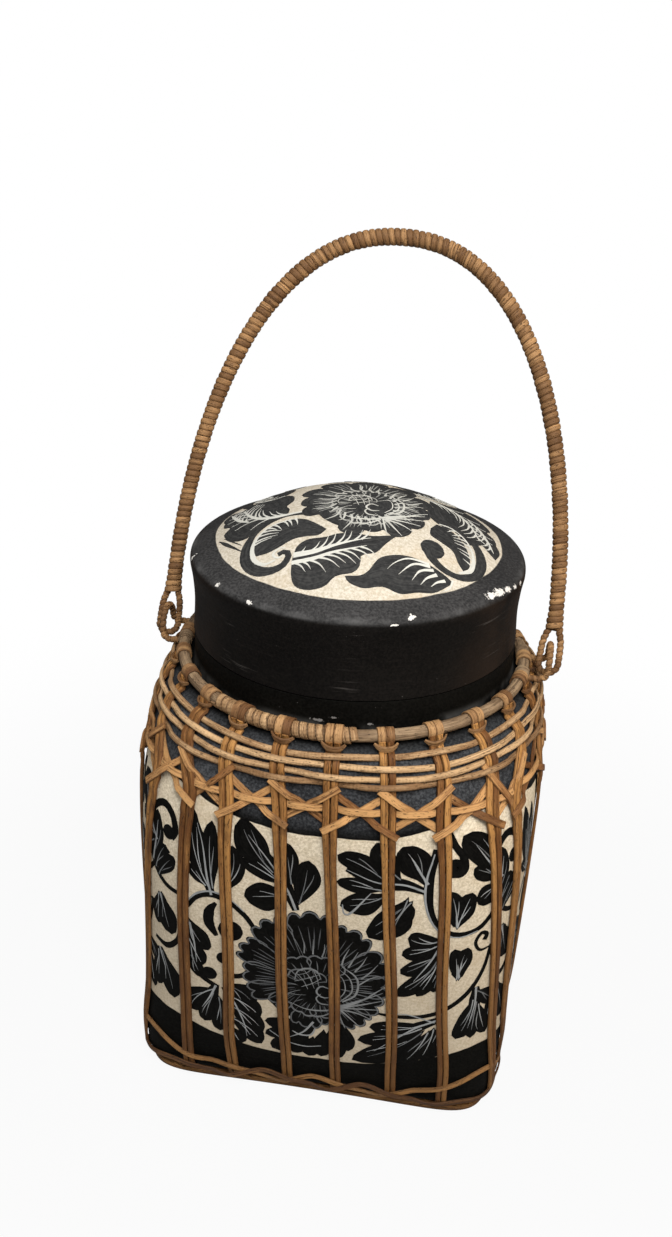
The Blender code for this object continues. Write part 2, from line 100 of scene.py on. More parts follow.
def spaced(points, count):
    # the same open route with its points an equal way apart
    way = np.concatenate([[0], np.cumsum(np.linalg.norm(np.diff(points, axis=0), axis=1))])
    at = np.linspace(0, way[-1], count)
    return np.stack([np.interp(at, way, points[:, i]) for i in range(points.shape[1])], axis=1)


def rounded(points, count):
    # Catmull-Rom curve through points: each span blends its ends with half the chord slopes
    p = np.asarray(points, float)
    padded = np.concatenate([[2 * p[0] - p[1]], p, [2 * p[-1] - p[-2]]])
    t = np.linspace(0, len(p) - 1, 24 * len(p))
    i = np.minimum(t.astype(int), len(p) - 2)
    f = (t - i)[:, None]
    a, b, c, d = padded[i], padded[i + 1], padded[i + 2], padded[i + 3]
    curve = 0.5 * (2 * b + (c - a) * f + (2 * a - 5 * b + 4 * c - d) * f**2 + (3 * b - a - 3 * c + d) * f**3)
    return spaced(curve, count)


def along(points, loop):
    if loop:
        return unit(np.roll(points, -1, axis=0) - np.roll(points, 1, axis=0))
    return unit(np.gradient(points, axis=0))


def carry(points, outward, section, loop=False):
    # row i = point i + across * section x + out * section y, where across = tangent x outward
    tangent = along(points, loop)
    across = unit(np.cross(tangent, outward))
    out = np.cross(across, tangent)
    section = np.asarray(section, float)
    if section.ndim == 2:
        section = np.tile(section, (len(points), 1, 1))
    return points[:, None] + section[..., :1] * across[:, None] + section[..., 1:] * out[:, None]


def caneSection(width, thickness, shift=0.0):
    # split cane: flat back at 0, rounded face at its thickness
    w, t = width / 2, thickness
    flat = [(-0.94 * w, 0), (0.94 * w, 0), (w, 0.3 * t), (0.78 * w, 0.78 * t), (0.3 * w, t),
            (-0.3 * w, t), (-0.78 * w, 0.78 * t), (-w, 0.3 * t)]
    return np.array(flat) + np.array([shift, 0])


def stripSection(width, thickness):
    # flat strip with eased edges, middle of its thickness at 0
    w, t = width / 2, thickness / 2
    flat = [(-0.9 * w, -t), (0.9 * w, -t), (w, 0), (0.86 * w, t), (0, 1.12 * t), (-0.86 * w, t), (-w, 0)]
    return np.array(flat)


def ovalSection(width, thickness, count=10):
    a = circle(count)
    return np.stack([width / 2 * np.cos(a), thickness / 2 * np.sin(a)], axis=1)


class Strips:
    # gathers closed grids, each a run of rings along a path, into one mesh
    def __init__(self):
        self.points, self.faces, self.uvs, self.tones, self.edges, self.count = [], [], [], [], [], 0

    def add(self, rows, loop=False, tone=None):
        tone = dice.random() if tone is None else tone
        n, m = rows.shape[:2]
        index = self.count + np.arange(n * m).reshape(n, m)
        beside = np.roll(index, -1, axis=1)
        last = n if loop else n - 1
        quads = np.stack([index, beside, np.roll(beside, -1, axis=0), np.roll(index, -1, axis=0)], axis=-1)
        quads = quads[:last].reshape(-1, 4)
        middles = rows.mean(axis=1)
        if loop:
            middles = np.concatenate([middles, middles[:1]])
        way = np.concatenate([[0], np.cumsum(np.linalg.norm(np.diff(middles, axis=0), axis=1))])
        ring = rows[n // 2]
        side = np.linalg.norm(np.roll(ring, -1, axis=0) - ring, axis=1)
        around = np.concatenate([[0], np.cumsum(side)])
        # each strip takes its own part of the grain
        start = dice.random(2) * 400
        way, around = way + start[0], around + start[1]
        i, j = np.meshgrid(np.arange(last), np.arange(m), indexing="ij")
        ends = i + 1 if loop else np.minimum(i + 1, n - 1)
        uv = np.stack([
            np.stack([way[i], around[j]], -1), np.stack([way[i], around[j + 1]], -1),
            np.stack([way[ends], around[j + 1]], -1), np.stack([way[ends], around[j]], -1),
        ], axis=2).reshape(-1, 4, 2)
        flat = rows.reshape(-1, 3)
        corner = flat[quads - self.count]
        normal = np.cross(corner[:, 2] - corner[:, 0], corner[:, 3] - corner[:, 1])
        inside = ((corner.mean(axis=1) - flat.mean(axis=0)) * normal).sum() < 0
        caps = [] if loop else [index[0][::-1][None], index[-1][None]]
        capUvs = [] if loop else [
            np.stack([np.full(m, way[0]), around[:m][::-1]], -1)[None],
            np.stack([np.full(m, way[-1]), around[:m]], -1)[None],
        ]
        for face, spot in zip([quads] + caps, [uv] + capUvs):
            self.faces.append(face[:, ::-1] if inside else face)
            self.uvs.append(spot[:, ::-1] if inside else spot)
        self.points.append(flat)
        self.tones.append(np.full(len(flat), tone))
        # how far out each corner is on its ring, 1 at the strip's edge
        apart = np.linalg.norm(rows - middles[:n, None], axis=2)
        self.edges.append((apart / np.maximum(apart.max(axis=1, keepdims=True), 1e-6)).ravel())
        self.count += len(flat)

    def run(self, points, outward, section, loop=False, tone=None):
        # a section carried along a path
        self.add(carry(points, outward, section, loop), loop, tone)

    def make(self, name, finish, body, slot, nodes=()):
        loops = np.concatenate([f.ravel() for f in self.faces])
        sizes = np.concatenate([np.full(len(f), f.shape[1]) for f in self.faces])
        mesh = bpy.data.meshes.new(name)
        mesh.vertices.add(self.count)
        mesh.vertices.foreach_set("co", (np.concatenate(self.points) * mm).ravel())
        mesh.loops.add(len(loops))
        mesh.loops.foreach_set("vertex_index", loops)
        mesh.polygons.add(len(sizes))
        mesh.polygons.foreach_set("loop_start", np.concatenate([[0], np.cumsum(sizes)[:-1]]))
        mesh.update(calc_edges=True)
        grain = mesh.uv_layers.new(name="grain")
        grain.data.foreach_set("uv", np.concatenate([u.reshape(-1, 2) for u in self.uvs]).ravel() * mm)
        for mark, values in (("tone", self.tones), ("edge", self.edges)):
            mesh.attributes.new(mark, "FLOAT", "POINT").data.foreach_set("value", np.concatenate(values))
        mesh.shade_smooth()
        mesh.set_sharp_from_angle(angle=sharpAngle)
        mesh.materials.append(finish)
        piece = bpy.data.objects.new(name, mesh)
        bpy.context.scene.collection.objects.link(piece)
        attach(piece, body)
        if nodes:
            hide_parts(*nodes)
        return piece


# Materials

class Value:
    # a socket that Python's own operators join through Math nodes
    def __init__(self, paint, socket):
        self.paint, self.socket = paint, socket

    def calc(self, operation, *others):
        return self.paint.node("ShaderNodeMath", {"operation": operation}, dict(enumerate((self, *others))))

    __add__ = __radd__ = partialmethod(calc, "ADD")
    __mul__ = __rmul__ = partialmethod(calc, "MULTIPLY")
    __sub__ = partialmethod(calc, "SUBTRACT")
    __truediv__ = partialmethod(calc, "DIVIDE")
    __pow__ = partialmethod(calc, "POWER")

    def __rsub__(self, other):
        return self.paint.node("ShaderNodeMath", {"operation": "SUBTRACT"}, {0: other, 1: self})

    def rise(self, low, high):
        # 0 below low, 1 above high, eased between
        limits = {"Value": self, "From Min": low, "From Max": high}
        return self.paint.node("ShaderNodeMapRange", {"interpolation_type": "SMOOTHSTEP"}, limits)

    def between(self, low, fullFrom, fullTo, high):
        # 0 outside low and high, 1 from fullFrom to fullTo
        return self.rise(low, fullFrom) * (1 - self.rise(fullTo, high))


class Paint:
    def __init__(self, name, gloss):
        self.material = bpy.data.materials.new(name)
        self.material.use_nodes = True
        self.tree = self.material.node_tree
        self.surface = self.tree.nodes["Principled BSDF"]
        self.surface.inputs["Roughness"].default_value = 0.8
        self.surface.inputs["Specular IOR Level"].default_value = gloss

    def node(self, kind, settings, inputs, output=0):
        made = self.tree.nodes.new(kind)
        for name, value in settings.items():
            setattr(made, name, value)
        for key, value in inputs.items():
            if isinstance(value, Value):
                self.tree.links.new(value.socket, made.inputs[key])
            else:
                made.inputs[key].default_value = value
        if isinstance(output, tuple):
            return [Value(self, made.outputs[i]) for i in output]
        return Value(self, made.outputs[output])

    def place(self):
        return self.node("ShaderNodeTexCoord", {}, {}, "Object")

    def grain(self):
        return self.node("ShaderNodeUVMap", {"uv_map": "grain"}, {})

    def mark(self, name):
        return self.node("ShaderNodeAttribute", {"attribute_name": name}, {}, "Fac")

    def parts(self, vector):
        return self.node("ShaderNodeSeparateXYZ", {}, {0: vector}, (0, 1, 2))

    def vector(self, x, y, z):
        return self.node("ShaderNodeCombineXYZ", {}, {0: x, 1: y, 2: z})

    def scaled(self, vector, scale):
        return self.node("ShaderNodeVectorMath", {"operation": "MULTIPLY"}, {0: vector, 1: scale})

    def noise(self, vector, scale, detail=2.0, rough=0.5):
        inputs = {"Vector": vector, "Scale": scale, "Detail": detail, "Roughness": rough}
        return self.node("ShaderNodeTexNoise", {}, inputs)

    def cells(self, vector, scale):
        return self.node("ShaderNodeTexVoronoi", {}, {"Vector": vector, "Scale": scale}, "Distance")

    def mix(self, factor, first, second):
        # colour between two colours
        first, second = ((*c, 1.0) if isinstance(c, tuple) else c for c in (first, second))
        settings = {"data_type": "RGBA", "clamp_factor": True}
        return self.node("ShaderNodeMix", settings, {0: factor, 6: first, 7: second}, 2)

    def finish(self, colour, roughness, height, depth, strength):
        bump = self.node("ShaderNodeBump", {}, {"Height": height, "Distance": depth, "Strength": strength})
        for value, socket in ((colour, "Base Color"), (roughness, "Roughness"), (bump, "Normal")):
            self.tree.links.new(value.socket, self.surface.inputs[socket])
        return self.material


def lacquerColour(paint, place, deep, lighter):
    # charcoal from deep to lighter in a fine grain, with broad rubbed patches and sparse pale specks
    fine = paint.noise(place, 950, 3, 0.65)
    broad = paint.noise(place, 30, 3)
    colour = paint.mix((fine * 0.8 + broad * 0.35).rise(0.42, 0.78), deep, lighter)
    speck = 1 - paint.cells(place, 430).rise(0.04, 0.11)
    speck = speck * paint.noise(place, 95, 2).rise(0.58, 0.68)
    return paint.mix(speck * 0.45, colour, (0.17, 0.16, 0.15))


def creamColour(paint, place, dark, light):
    # pale ground paint, mottled, a little browned in patches, with fine dark specks
    fine = paint.noise(place, 900, 3, 0.75)
    patch = paint.noise(place, 45, 4, 0.6)
    colour = paint.mix(fine.rise(0.34, 0.66), dark, light)
    colour = paint.mix(patch.rise(0.52, 0.8) * 0.5, colour, (0.52, 0.39, 0.24))
    speck = (1 - paint.cells(place, 330).rise(0.04, 0.13)) * paint.noise(place, 70, 2).rise(0.57, 0.66)
    return paint.mix(speck * 0.6, colour, (0.28, 0.20, 0.13))


def chipped(paint, colour, x, y, z, chips, reach, tint):
    # bare ragged patches; each chip is its azimuth in degrees, then height, half length and half height in mm
    azimuth = x.calc("ARCTAN2", y * -1)
    edge = paint.noise(paint.place(), 760, 4, 0.75) * 3.6 - 1.75
    for at, up, long, tall in chips:
        way = (azimuth - math.radians(at)) * (reach / long)
        rise = (z - up * mm) * (1 / (tall * mm))
        near = (way * way + rise * rise) ** 0.5 + edge
        colour = paint.mix(1 - near.rise(0.8, 0.9), colour, tint)
    return colour


# heights and radii in mm; pairs of colours are the darker and the lighter tone of one coat
wall = {
    "heights": (10.65, 50.9, 152.7, 187.3, 195.78, 198.6, 201.2, 215.9),
    "halves": (88.2, 90.6, 89.6, 84.2, 80.4, 76.6, 72.0, 71.4),
    "squareness": (10.0, 5.2, 3.6, 2.5, 2.15, 2.03, 2.0, 2.0),
    "floor": 4.65,
    "rounding": 6.0,
    "thickness": 3.0,
    "columns": 256,
    "bandTop": (161.8, 12.0),        # the cream band's edge at the middle of a side, and its rise to a corner
    "bandFoot": (27.5, 18.0),
    # the cream is darkened fully below the first height and not above the second, by grime and painted shade
    "grimeAndShadeFade": (40.0, 165.0),
    "neckFrom": (194.0, 201.0),      # the shoulder's painted top light fades into the dark neck between these
    # heights of the painted sheen on the neck: starts, full from, full to, ends
    "neckSheen": (200.5, 202.5, 203.5, 207.5),
    "scuffs": [(-3, 206.5, 3.5, 0.7), (2, 208.2, 1.6, 0.5), (14, 206.0, 1.6, 0.5)],
    "scuffRadius": 71.5,
    "black": ((0.0019, 0.0018, 0.0014), (0.0064, 0.0059, 0.0048)),
    # lighter shoulder: painted top light, the same black lacquer drawn paler where it faces partly up
    "lighter": ((0.021, 0.022, 0.024), (0.082, 0.085, 0.09)),
    "cream": ((0.58, 0.48, 0.33), (0.84, 0.735, 0.57)),
    "grimeAndShade": (0.41, 0.335, 0.24),
    "neckSheenColour": (0.16, 0.155, 0.145),
    "scuffColour": (0.21, 0.20, 0.19),
}


def wallFinish():
    paint = Paint("black_lacquer", 0.05)
    place = paint.place()
    x, y, z = paint.parts(place)
    # the cream band's edges dip at the middles of the sides: q = y^2 / (x^2 + y^2), k = 4 q (1 - q)
    q = y * y / (x * x + y * y)
    k = 4 * q * (1 - q)
    wobble = (paint.noise(place, 55, 2) - 0.5) * 0.0026
    (topLow, topRise), (footLow, footRise) = metres(wall["bandTop"]), metres(wall["bandFoot"])
    top = topLow + topRise * k**1.5 + wobble
    bottom = footLow + footRise * k * k + wobble
    cream = (top - z).rise(0.0, paintEdge) * (z - bottom).rise(0.0, paintEdge)
    # painted top light: the shoulder, which faces partly up, is drawn in the lighter lacquer
    shoulder = (z - top).rise(-1 * mm, 8 * mm) * (1 - z.rise(*metres(wall["neckFrom"])))
    black = lacquerColour(paint, place, *wall["black"])
    lighter = lacquerColour(paint, place, *wall["lighter"])
    colour = paint.mix(shoulder, black, lighter)
    # painted sheen: pale shiny marks on the neck where light glances off the lacquer
    neckSheen = z.between(*metres(wall["neckSheen"])) * paint.noise(place, 60, 3).rise(0.42, 0.62)
    colour = paint.mix(neckSheen * 0.35, colour, wall["neckSheenColour"])
    colour = chipped(paint, colour, x, y, z, wall["scuffs"], wall["scuffRadius"], wall["scuffColour"])
    pale = creamColour(paint, place, *wall["cream"])
    # grime and painted shade: the cream darkens towards the foot, partly dirt and partly the falling off of
    # light lower down
    grimyAndShaded = paint.mix((1 - z.rise(*metres(wall["grimeAndShadeFade"]))) * 0.5, pale, wall["grimeAndShade"])
    colour = paint.mix(cream, colour, grimyAndShaded)
    weave = paint.noise(paint.scaled(place, (1.0, 1.0, 2.6)), 230, 3, 0.6)
    height = weave + cream * 0.5 + paint.noise(place, 1300, 2) * 0.3
    rough = 0.55 + weave * 0.25 + cream * 0.1
    return paint.finish(colour, rough, height, 0.0003, 0.8)


lid = {
    "bottom": 216.2,
    "footRadius": 71.6,
    "flare": (71.25, 3.5),           # radius and rise above its bottom edge
    "waist": (70.6, 14.7),
    "underRidge": (71.05, 6.0),      # radius and drop below the ridge's rounding
    "ridge": (72.0, 33.2),
    "ridgeRounding": 3.2,
    "medallion": (61.2, 38.1),
    "top": 57.3,
    "bore": 67.9,
    "lip": ((0.05, 0.35), (0.5, 0.0)),         # in from the foot's radius, up from the bottom
    "lipFrom": 0.9,
    "thickness": 3.0,
    "liningGap": 0.3,
    "liningThickness": 1.4,
    "fieldFrom": (246.0, 246.2),     # the cream field lies above this
    "crownFrom": (248.2, 250.7),     # the side's black turns to the crown's grey between these; the grey is wear and painted top light
    "rubbedGlint": (248.7, 249.9, 250.4, 251.7),    # starts, full from, full to, ends
    "grip": (40.0, 70.0),            # distance left and right of the middle
    "chips": [(-69, 249.7, 0.9, 1.6), (-44, 250.3, 1.0, 0.8), (-28, 250.0, 1.7, 0.7), (25.5, 250.9, 1.6, 0.8),
              (19.5, 249.1, 1.6, 0.35), (58, 251.3, 3.2, 0.9), (62.5, 250.9, 3.4, 1.1), (67, 250.3, 2.4, 1.0),
              (72, 249.5, 1.6, 0.8), (77, 248.6, 1.2, 0.8)],
    "black": ((0.003, 0.0026, 0.0023), (0.0085, 0.0072, 0.0062)),
    "grey": ((0.019, 0.0185, 0.0185), (0.058, 0.056, 0.055)),
    "cream": ((0.45, 0.388, 0.29), (0.635, 0.577, 0.483)),
    "streakColour": (0.020, 0.016, 0.014),
    "gripColour": (0.028, 0.017, 0.011),
    "scratchColour": (0.10, 0.09, 0.082),
    "rubbedGlintColour": (0.13, 0.127, 0.124),
    "chipColour": (0.70, 0.665, 0.61),
}


def lidFinish():
    paint = Paint("lid_lacquer", 0.07)
    place = paint.place()
    x, y, z = paint.parts(place)
    radius = (x * x + y * y) ** 0.5
    wobble = (paint.noise(place, 60, 2) - 0.5) * 0.0018
    inner = (lid["medallion"][0] * mm + wobble - radius).rise(0.0, paintEdge)
    field = inner * z.rise(*metres(lid["fieldFrom"]))
    # the side is brownish black with long level scratches; the ridge and the crown's edge are grey, partly
    # wear and partly painted top light
    streak = paint.noise(paint.scaled(place, (1.0, 1.0, 24.0)), 70, 4, 0.7)
    hair = paint.noise(paint.scaled(place, (1.0, 1.0, 60.0)), 38, 2, 0.5)
    crown = z.rise(*metres(lid["crownFrom"]))
    black = lacquerColour(paint, place, *lid["black"])
    black = paint.mix(streak.rise(0.55, 0.75) * 0.5, black, lid["streakColour"])
    # handling has browned the two sides where the lid is gripped
    gripped = x.calc("ABSOLUTE").rise(*metres(lid["grip"])) * paint.noise(place, 40, 3).rise(0.25, 0.6)
    black = paint.mix(gripped * 0.7, black, lid["gripColour"])
    worn = hair.rise(0.66, 0.70) * paint.noise(place, 34, 2).rise(0.5, 0.62)
    black = paint.mix(worn * 0.45, black, lid["scratchColour"])
    # worn grey and painted top light on the upward-facing crown
    colour = paint.mix(crown, black, lacquerColour(paint, place, *lid["grey"]))
    # worn marks and painted highlight: pale rubbed scratches along the ridge's front, drawn with the glint of
    # light on its edge
    rubbedGlint = z.between(*metres(lid["rubbedGlint"])) * paint.noise(place, 60, 3, 0.6).rise(0.4, 0.75)
    colour = paint.mix(rubbedGlint * 0.5, colour, lid["rubbedGlintColour"])
    colour = paint.mix(field, colour, creamColour(paint, place, *lid["cream"]))
    colour = chipped(paint, colour, x, y, z, lid["chips"], lid["ridge"][0], lid["chipColour"])
    height = paint.noise(place, 260, 3, 0.6) + streak * (1 - crown) * 0.6 + field * 0.3
    rough = 0.44 + streak * 0.22 + field * 0.2 + crown * 0.08
    return paint.finish(colour, rough, height, 0.00024, 0.8)


def motifFinish(name, deep, light):
    # brushed black: faint streaks along each shape
    paint = Paint(name, 0.05)
    u, v, _ = paint.parts(paint.grain())
    brushed = paint.noise(paint.vector(u * 90, v * 1500, paint.mark("tone") * 9), 1.0, 3)
    worn = (brushed * 0.7 + paint.noise(paint.place(), 700, 2) * 0.5).rise(0.45, 0.8)
    colour = paint.mix(worn, deep, light)
    return paint.finish(colour, 0.55 + brushed * 0.2, brushed, 0.0001, 0.6)


def strokeFinish(name, light):
    # thin grey-white paint that thins out where the brush ran dry; tone says how much paint it had
    paint = Paint(name, 0.3)
    u, v, _ = paint.parts(paint.grain())
    dry = paint.noise(paint.vector(u * 160, v * 3800, paint.mark("tone") * 9), 1.0, 3, 0.6)
    load = (paint.mark("tone") * 0.9 + dry * 0.8).rise(0.35, 1.25)
    colour = paint.mix(load, (0.045, 0.047, 0.050), light)
    return paint.finish(colour, 0.6 + dry * 0.2, dry, 0.0001, 0.6)


def caneFinish(name, light, dark, streak, low=None, across=0.0, turns=0.0, rim=0.6):
    # split cane: fibres run along u, each strand has its own tone, with dark streaks, joints and pores, and
    # its rims darkened as painted shade
    paint = Paint(name, 0.22)
    grain, tone = paint.grain(), paint.mark("tone")
    u, v, _ = paint.parts(grain)
    fibre = paint.noise(paint.vector(u * 55, v * 3100, tone * 9), 1.0, 3, 0.65)
    ridge = paint.noise(paint.vector(u * 14, v * 1300, tone * 23), 1.0, 2, 0.5)
    cloud = paint.noise(paint.vector(u * 60, v * 150, tone * 31), 1.0, 4, 0.65)
    joint = paint.noise(paint.vector(u * 30, v * 14, tone * 17), 1.0, 1)
    colour = paint.mix((fibre * 0.75 + cloud * 0.75 + tone * 0.40).rise(0.70, 1.17), dark, light)
    colour = paint.mix(ridge.rise(0.55, 0.72) * 0.75, colour, streak)
    colour = paint.mix(joint.rise(0.66, 0.70) * 0.6, colour, streak)
    pore = paint.noise(paint.vector(u * 480, v * 2300, tone * 5), 1.0, 2).rise(0.60, 0.68)
    colour = paint.mix(pore * 0.75, colour, tuple(0.35 * c for c in streak))
    # painted shade: each strand darkens towards its edges, where it meets the wall and its neighbours
    colour = paint.mix(paint.mark("edge").rise(0.70, 1.0) * rim, colour, streak)
    if turns:
        # a wound strand changes tone every turn or two
        patch = paint.noise(paint.vector(u * 42, v * 3, tone * 13), 1.0, 1).rise(0.38, 0.62)
        colour = paint.mix(patch * turns, colour, dark)
    if low:
        # painted shade: darker towards the ground, where less light reaches
        _, _, z = paint.parts(paint.place())
        colour = paint.mix((1 - z.rise(*metres((30, 175)))) * 0.62, colour, low)
    height = fibre + ridge * 0.9 + cloud * 0.3 - pore * 0.6
    if across:
        height = height + (u * across).calc("SINE") * 0.25
    return paint.finish(colour, 0.48 + fibre * 0.3, height, 0.00022, 1.0)


def bambooFinish(slat):
    # plain weave: |sin| across and |sin| up, swapped where the product of both sines changes sign
    paint = Paint("woven_bamboo", 0.35)
    u, v, _ = paint.parts(paint.grain())
    across, up = ((way * (math.pi / (slat * mm))).calc("SINE") for way in (u, v))
    pick = (across * up).rise(-0.08, 0.08)
    height = pick * across.calc("ABSOLUTE") + (1 - pick) * up.calc("ABSOLUTE")
    fibre = paint.noise(paint.vector(u * 300, v * 300, 0.0), 1.0, 3)
    # painted shade: the weave is drawn darker where it dips between the slats
    colour = paint.mix(height.rise(0.0, 0.5), (0.16, 0.09, 0.04), (0.56, 0.41, 0.22))
    colour = paint.mix(fibre.rise(0.4, 0.75) * 0.5, colour, (0.42, 0.27, 0.12))
    return paint.finish(colour, 0.5 + fibre * 0.25, height, 0.0005, 0.9)


wallMaterial = wallFinish()
lidMaterial = lidFinish()
bambooMaterial = bambooFinish(slat=3.0)
wallMotif = motifFinish("motif_black", (0.0019, 0.0018, 0.0015), (0.0064, 0.0060, 0.0052))
lidMotif = motifFinish("lid_motif", (0.022, 0.022, 0.022), (0.050, 0.049, 0.047))
wallStroke = strokeFinish("grey_stroke", (0.40, 0.41, 0.405))
lidStroke = strokeFinish("pale_stroke", (0.60, 0.585, 0.52))
# canes: light, dark and streak colours; the stakes have a fourth, the colour of their painted shade towards
# the ground
stakeCane = caneFinish("stake_cane", (0.48, 0.235, 0.070), (0.145, 0.056, 0.015), (0.070, 0.026, 0.008),
                       (0.115, 0.050, 0.016))
ringCane = caneFinish("ring_cane", (0.64, 0.41, 0.21), (0.22, 0.115, 0.048), (0.10, 0.048, 0.021),
                      across=4200.0)
bandCane = caneFinish("band_strip", (0.63, 0.34, 0.132), (0.205, 0.083, 0.025), (0.10, 0.038, 0.012))
foldCane = caneFinish("fold_strip", (0.47, 0.265, 0.115), (0.16, 0.072, 0.027), (0.08, 0.034, 0.012))
edgeCane = caneFinish("edge_strip", (0.37, 0.185, 0.062), (0.105, 0.044, 0.015), (0.045, 0.019, 0.008))
handleCane = caneFinish("handle_cane", (0.43, 0.235, 0.098), (0.115, 0.053, 0.020), (0.055, 0.025, 0.010),
                        turns=0.8, rim=0.35)
rodCane = caneFinish("rod_cane", (0.40, 0.275, 0.160), (0.13, 0.077, 0.041), (0.05, 0.028, 0.015), rim=0.0)
print("materials ready")


# Painted wall, inner basket and lid

lining = {
    "heights": (13.95, 50.9, 152.7, 184.3, 194.6, 198.6, 202.1, 239.9),
    "halves": (84.1, 86.5, 85.5, 80.1, 72.65, 67.3, 65.8, 65.8),
    "squareness": (6.7, 5.2, 3.6, 2.6, 2.1, 2.0, 2.0, 2.0),
    "floor": 7.95,
    "rounding": 6.0,
    "thickness": 1.8,
    "columns": 192,
}


def outline(azimuth, height, form, inset=0.0):
    # radius at an azimuth from the front = w / (|sin|^n + |cos|^n)^(1/n), w smaller in the rounded foot
    z = np.asarray(form["heights"])
    known = np.clip(height, z[0], z[-1])
    n = monotone(known, z, form["squareness"])
    under = np.clip((z[0] - height) / form["rounding"], 0, 1)
    w = monotone(known, z, form["halves"]) - inset - form["rounding"] * (1 - np.sqrt(1 - under**2))
    s, c = np.sin(azimuth), np.cos(azimuth)
    r = w / (np.abs(s) ** n + np.abs(c) ** n) ** (1 / n)
    return np.stack([r * s, -r * c, height + 0 * r], axis=-1)


def wallNormal(azimuth, height):
    # cross product of the steps along and up the wall
    level = outline(azimuth + 1e-3, height, wall) - outline(azimuth - 1e-3, height, wall)
    up = outline(azimuth, height + 0.2, wall) - outline(azimuth, height - 0.2, wall)
    return unit(np.cross(level, up))


def onWall(azimuth, height, lift):
    azimuth, height = np.broadcast_arrays(np.asarray(azimuth, float), np.asarray(height, float))
    return outline(azimuth, height, wall) + wallNormal(azimuth, height) * np.asarray(lift)[..., None]


# heights of the rows: from, to, step up the sides; from, step up the neck. The lip's outer edge is eased
potRows = {
    "sides": (16.0, 150.0, 6.0),
    "neck": (152.0, 1.6),
    "lipIn": 0.3,
    "lipDown": 0.15,
    "lipRadius": 72.0,
}


def pot(form):
    # rings up the outside, over the lip and down the inside
    azimuth = cornered(form["columns"])
    rim, thick = form["heights"][-1], form["thickness"]
    foot = form["floor"] + form["rounding"] * (1 - np.cos(np.linspace(0, math.pi / 2, 8)))
    neck, step = potRows["neck"]
    parts = [foot, np.arange(*potRows["sides"]), np.arange(neck, rim - 0.5, step), [rim - 0.3, rim]]
    heights = np.concatenate(parts)
    outside = [outline(azimuth, z, form) for z in heights]
    inner = np.maximum(heights[::-1], form["floor"] + thick)
    inside = [outline(azimuth, max(z, form["heights"][0] + 0.01), form, thick) for z in inner]
    for row, z in zip(inside, inner):
        row[:, 2] = z
    shares = (0.75, 0.5, 0.25, 0.02)
    under = [outside[0] * np.array([s, s, 1]) for s in shares[::-1]]
    floor = [inside[-1] * np.array([s, s, 1]) for s in shares]
    eased = 1 - potRows["lipIn"] / potRows["lipRadius"]
    lip = outside[-1] * np.array([eased, eased, 1])
    outside[-1] = outside[-1] - potRows["lipDown"] * upward
    return np.stack(under + outside + [lip] + inside + floor)


body = Strips()
body.add(pot(wall), tone=0.5)
body.make("painted_wall", wallMaterial, "basket", "black_lacquer", ["body_shell"])
basket = Strips()
basket.add(pot(lining), tone=0.5)
basket.make("rice_basket", bambooMaterial, "basket", "woven_bamboo", ["inner_basket"])


def dome(radius):
    # crown height: parabola from the top down to the medallion's edge
    edge, rise = lid["medallion"]
    return lid["bottom"] + lid["top"] - (lid["top"] - rise) * (radius / edge) ** 2


def turned(profile, steps=224):
    # profile of (radius, height) turned round Z
    a = circle(steps)
    profile = np.asarray(profile)
    return np.stack([
        profile[:, :1] * np.sin(a), -profile[:, :1] * np.cos(a), np.tile(profile[:, 1:], (1, steps)),
    ], axis=-1)


def lidProfile():
    edge, _ = lid["medallion"]
    bottom, foot, bore, rounding = (lid[name] for name in ("bottom", "footRadius", "bore", "ridgeRounding"))
    ridgeRadius, ridge = lid["ridge"][0], bottom + lid["ridge"][1]
    crown = [(r, dome(r)) for r in np.linspace(0.05, edge, 24)]
    t = np.linspace(0, 1, 16)[1:, None]
    a, b = np.array([edge, dome(edge)]), np.array([ridgeRadius, ridge + 0.4 * rounding])
    c = np.array([ridgeRadius - 0.05 * rounding, ridge - rounding])
    # rational curve pulled twice as hard towards the ridge
    shoulder = ((1 - t) ** 2 * a + 4 * t * (1 - t) * b + t * t * c) / ((1 - t) ** 2 + 4 * t * (1 - t) + t * t)
    height = np.linspace(c[1], bottom + lid["lipFrom"], 22)[1:]
    radii, rises = zip(lid["flare"], lid["waist"], lid["underRidge"])
    known = [bottom, bottom + rises[0], bottom + rises[1], c[1] - rises[2], c[1]]
    radius = monotone(height, known, [foot, *radii, c[0]])
    lip = [(foot - inward, bottom + up) for inward, up in lid["lip"]]
    under = [(r, dome(r) - lid["thickness"]) for r in bore * np.array([1, 0.98, 0.85, 0.6, 0.3, 0.001])]
    side = list(zip(radius, height)) + lip + [(bore, bottom)]
    return crown + [tuple(p) for p in shoulder] + side + under


cap = Strips()
cap.add(turned(lidProfile()), tone=0.5)
cap.make("lid_cap", lidMaterial, "lid", "black_lacquer", ["lid_shell"])
cup = Strips()
gap, thick = lid["liningGap"], lid["liningThickness"]
bore, rim = lid["bore"] - gap, lid["bottom"] + gap
shares = np.array([0.001, 0.3, 0.6, 0.85, 1])
over = [(r, dome(r) - lid["thickness"] - gap) for r in bore * shares]
under = [(r, dome(r) - lid["thickness"] - gap - thick) for r in (bore - thick) * shares[::-1]]
cup.add(turned(over + [(bore, rim), (bore - thick, rim)] + under, 128), tone=0.5)
cup.make("lid_woven_lining", bambooMaterial, "lid", "woven_bamboo", ["lid_lining"])
print("wall and lid built")


# Painting on the wall and the lid

# heights of the painted layers above the skin; a shape's veins and pale edge lie one step above it
layers = {
    "back": 0.03,
    "scuff": 0.10,
    "disc": 0.12,
    "shape": 0.14,
    "stem": 0.15,
    "cup": 0.22,
    "feather": 0.26,
    "rib": 0.27,
    "pale": 0.28,
    "fringe": 0.33,
    "overRib": 0.36,
    "heart": 0.40,
    "step": 0.10,
    "strokeEdge": 0.09,              # a pale stroke's edges lie lower than its middle by this
}


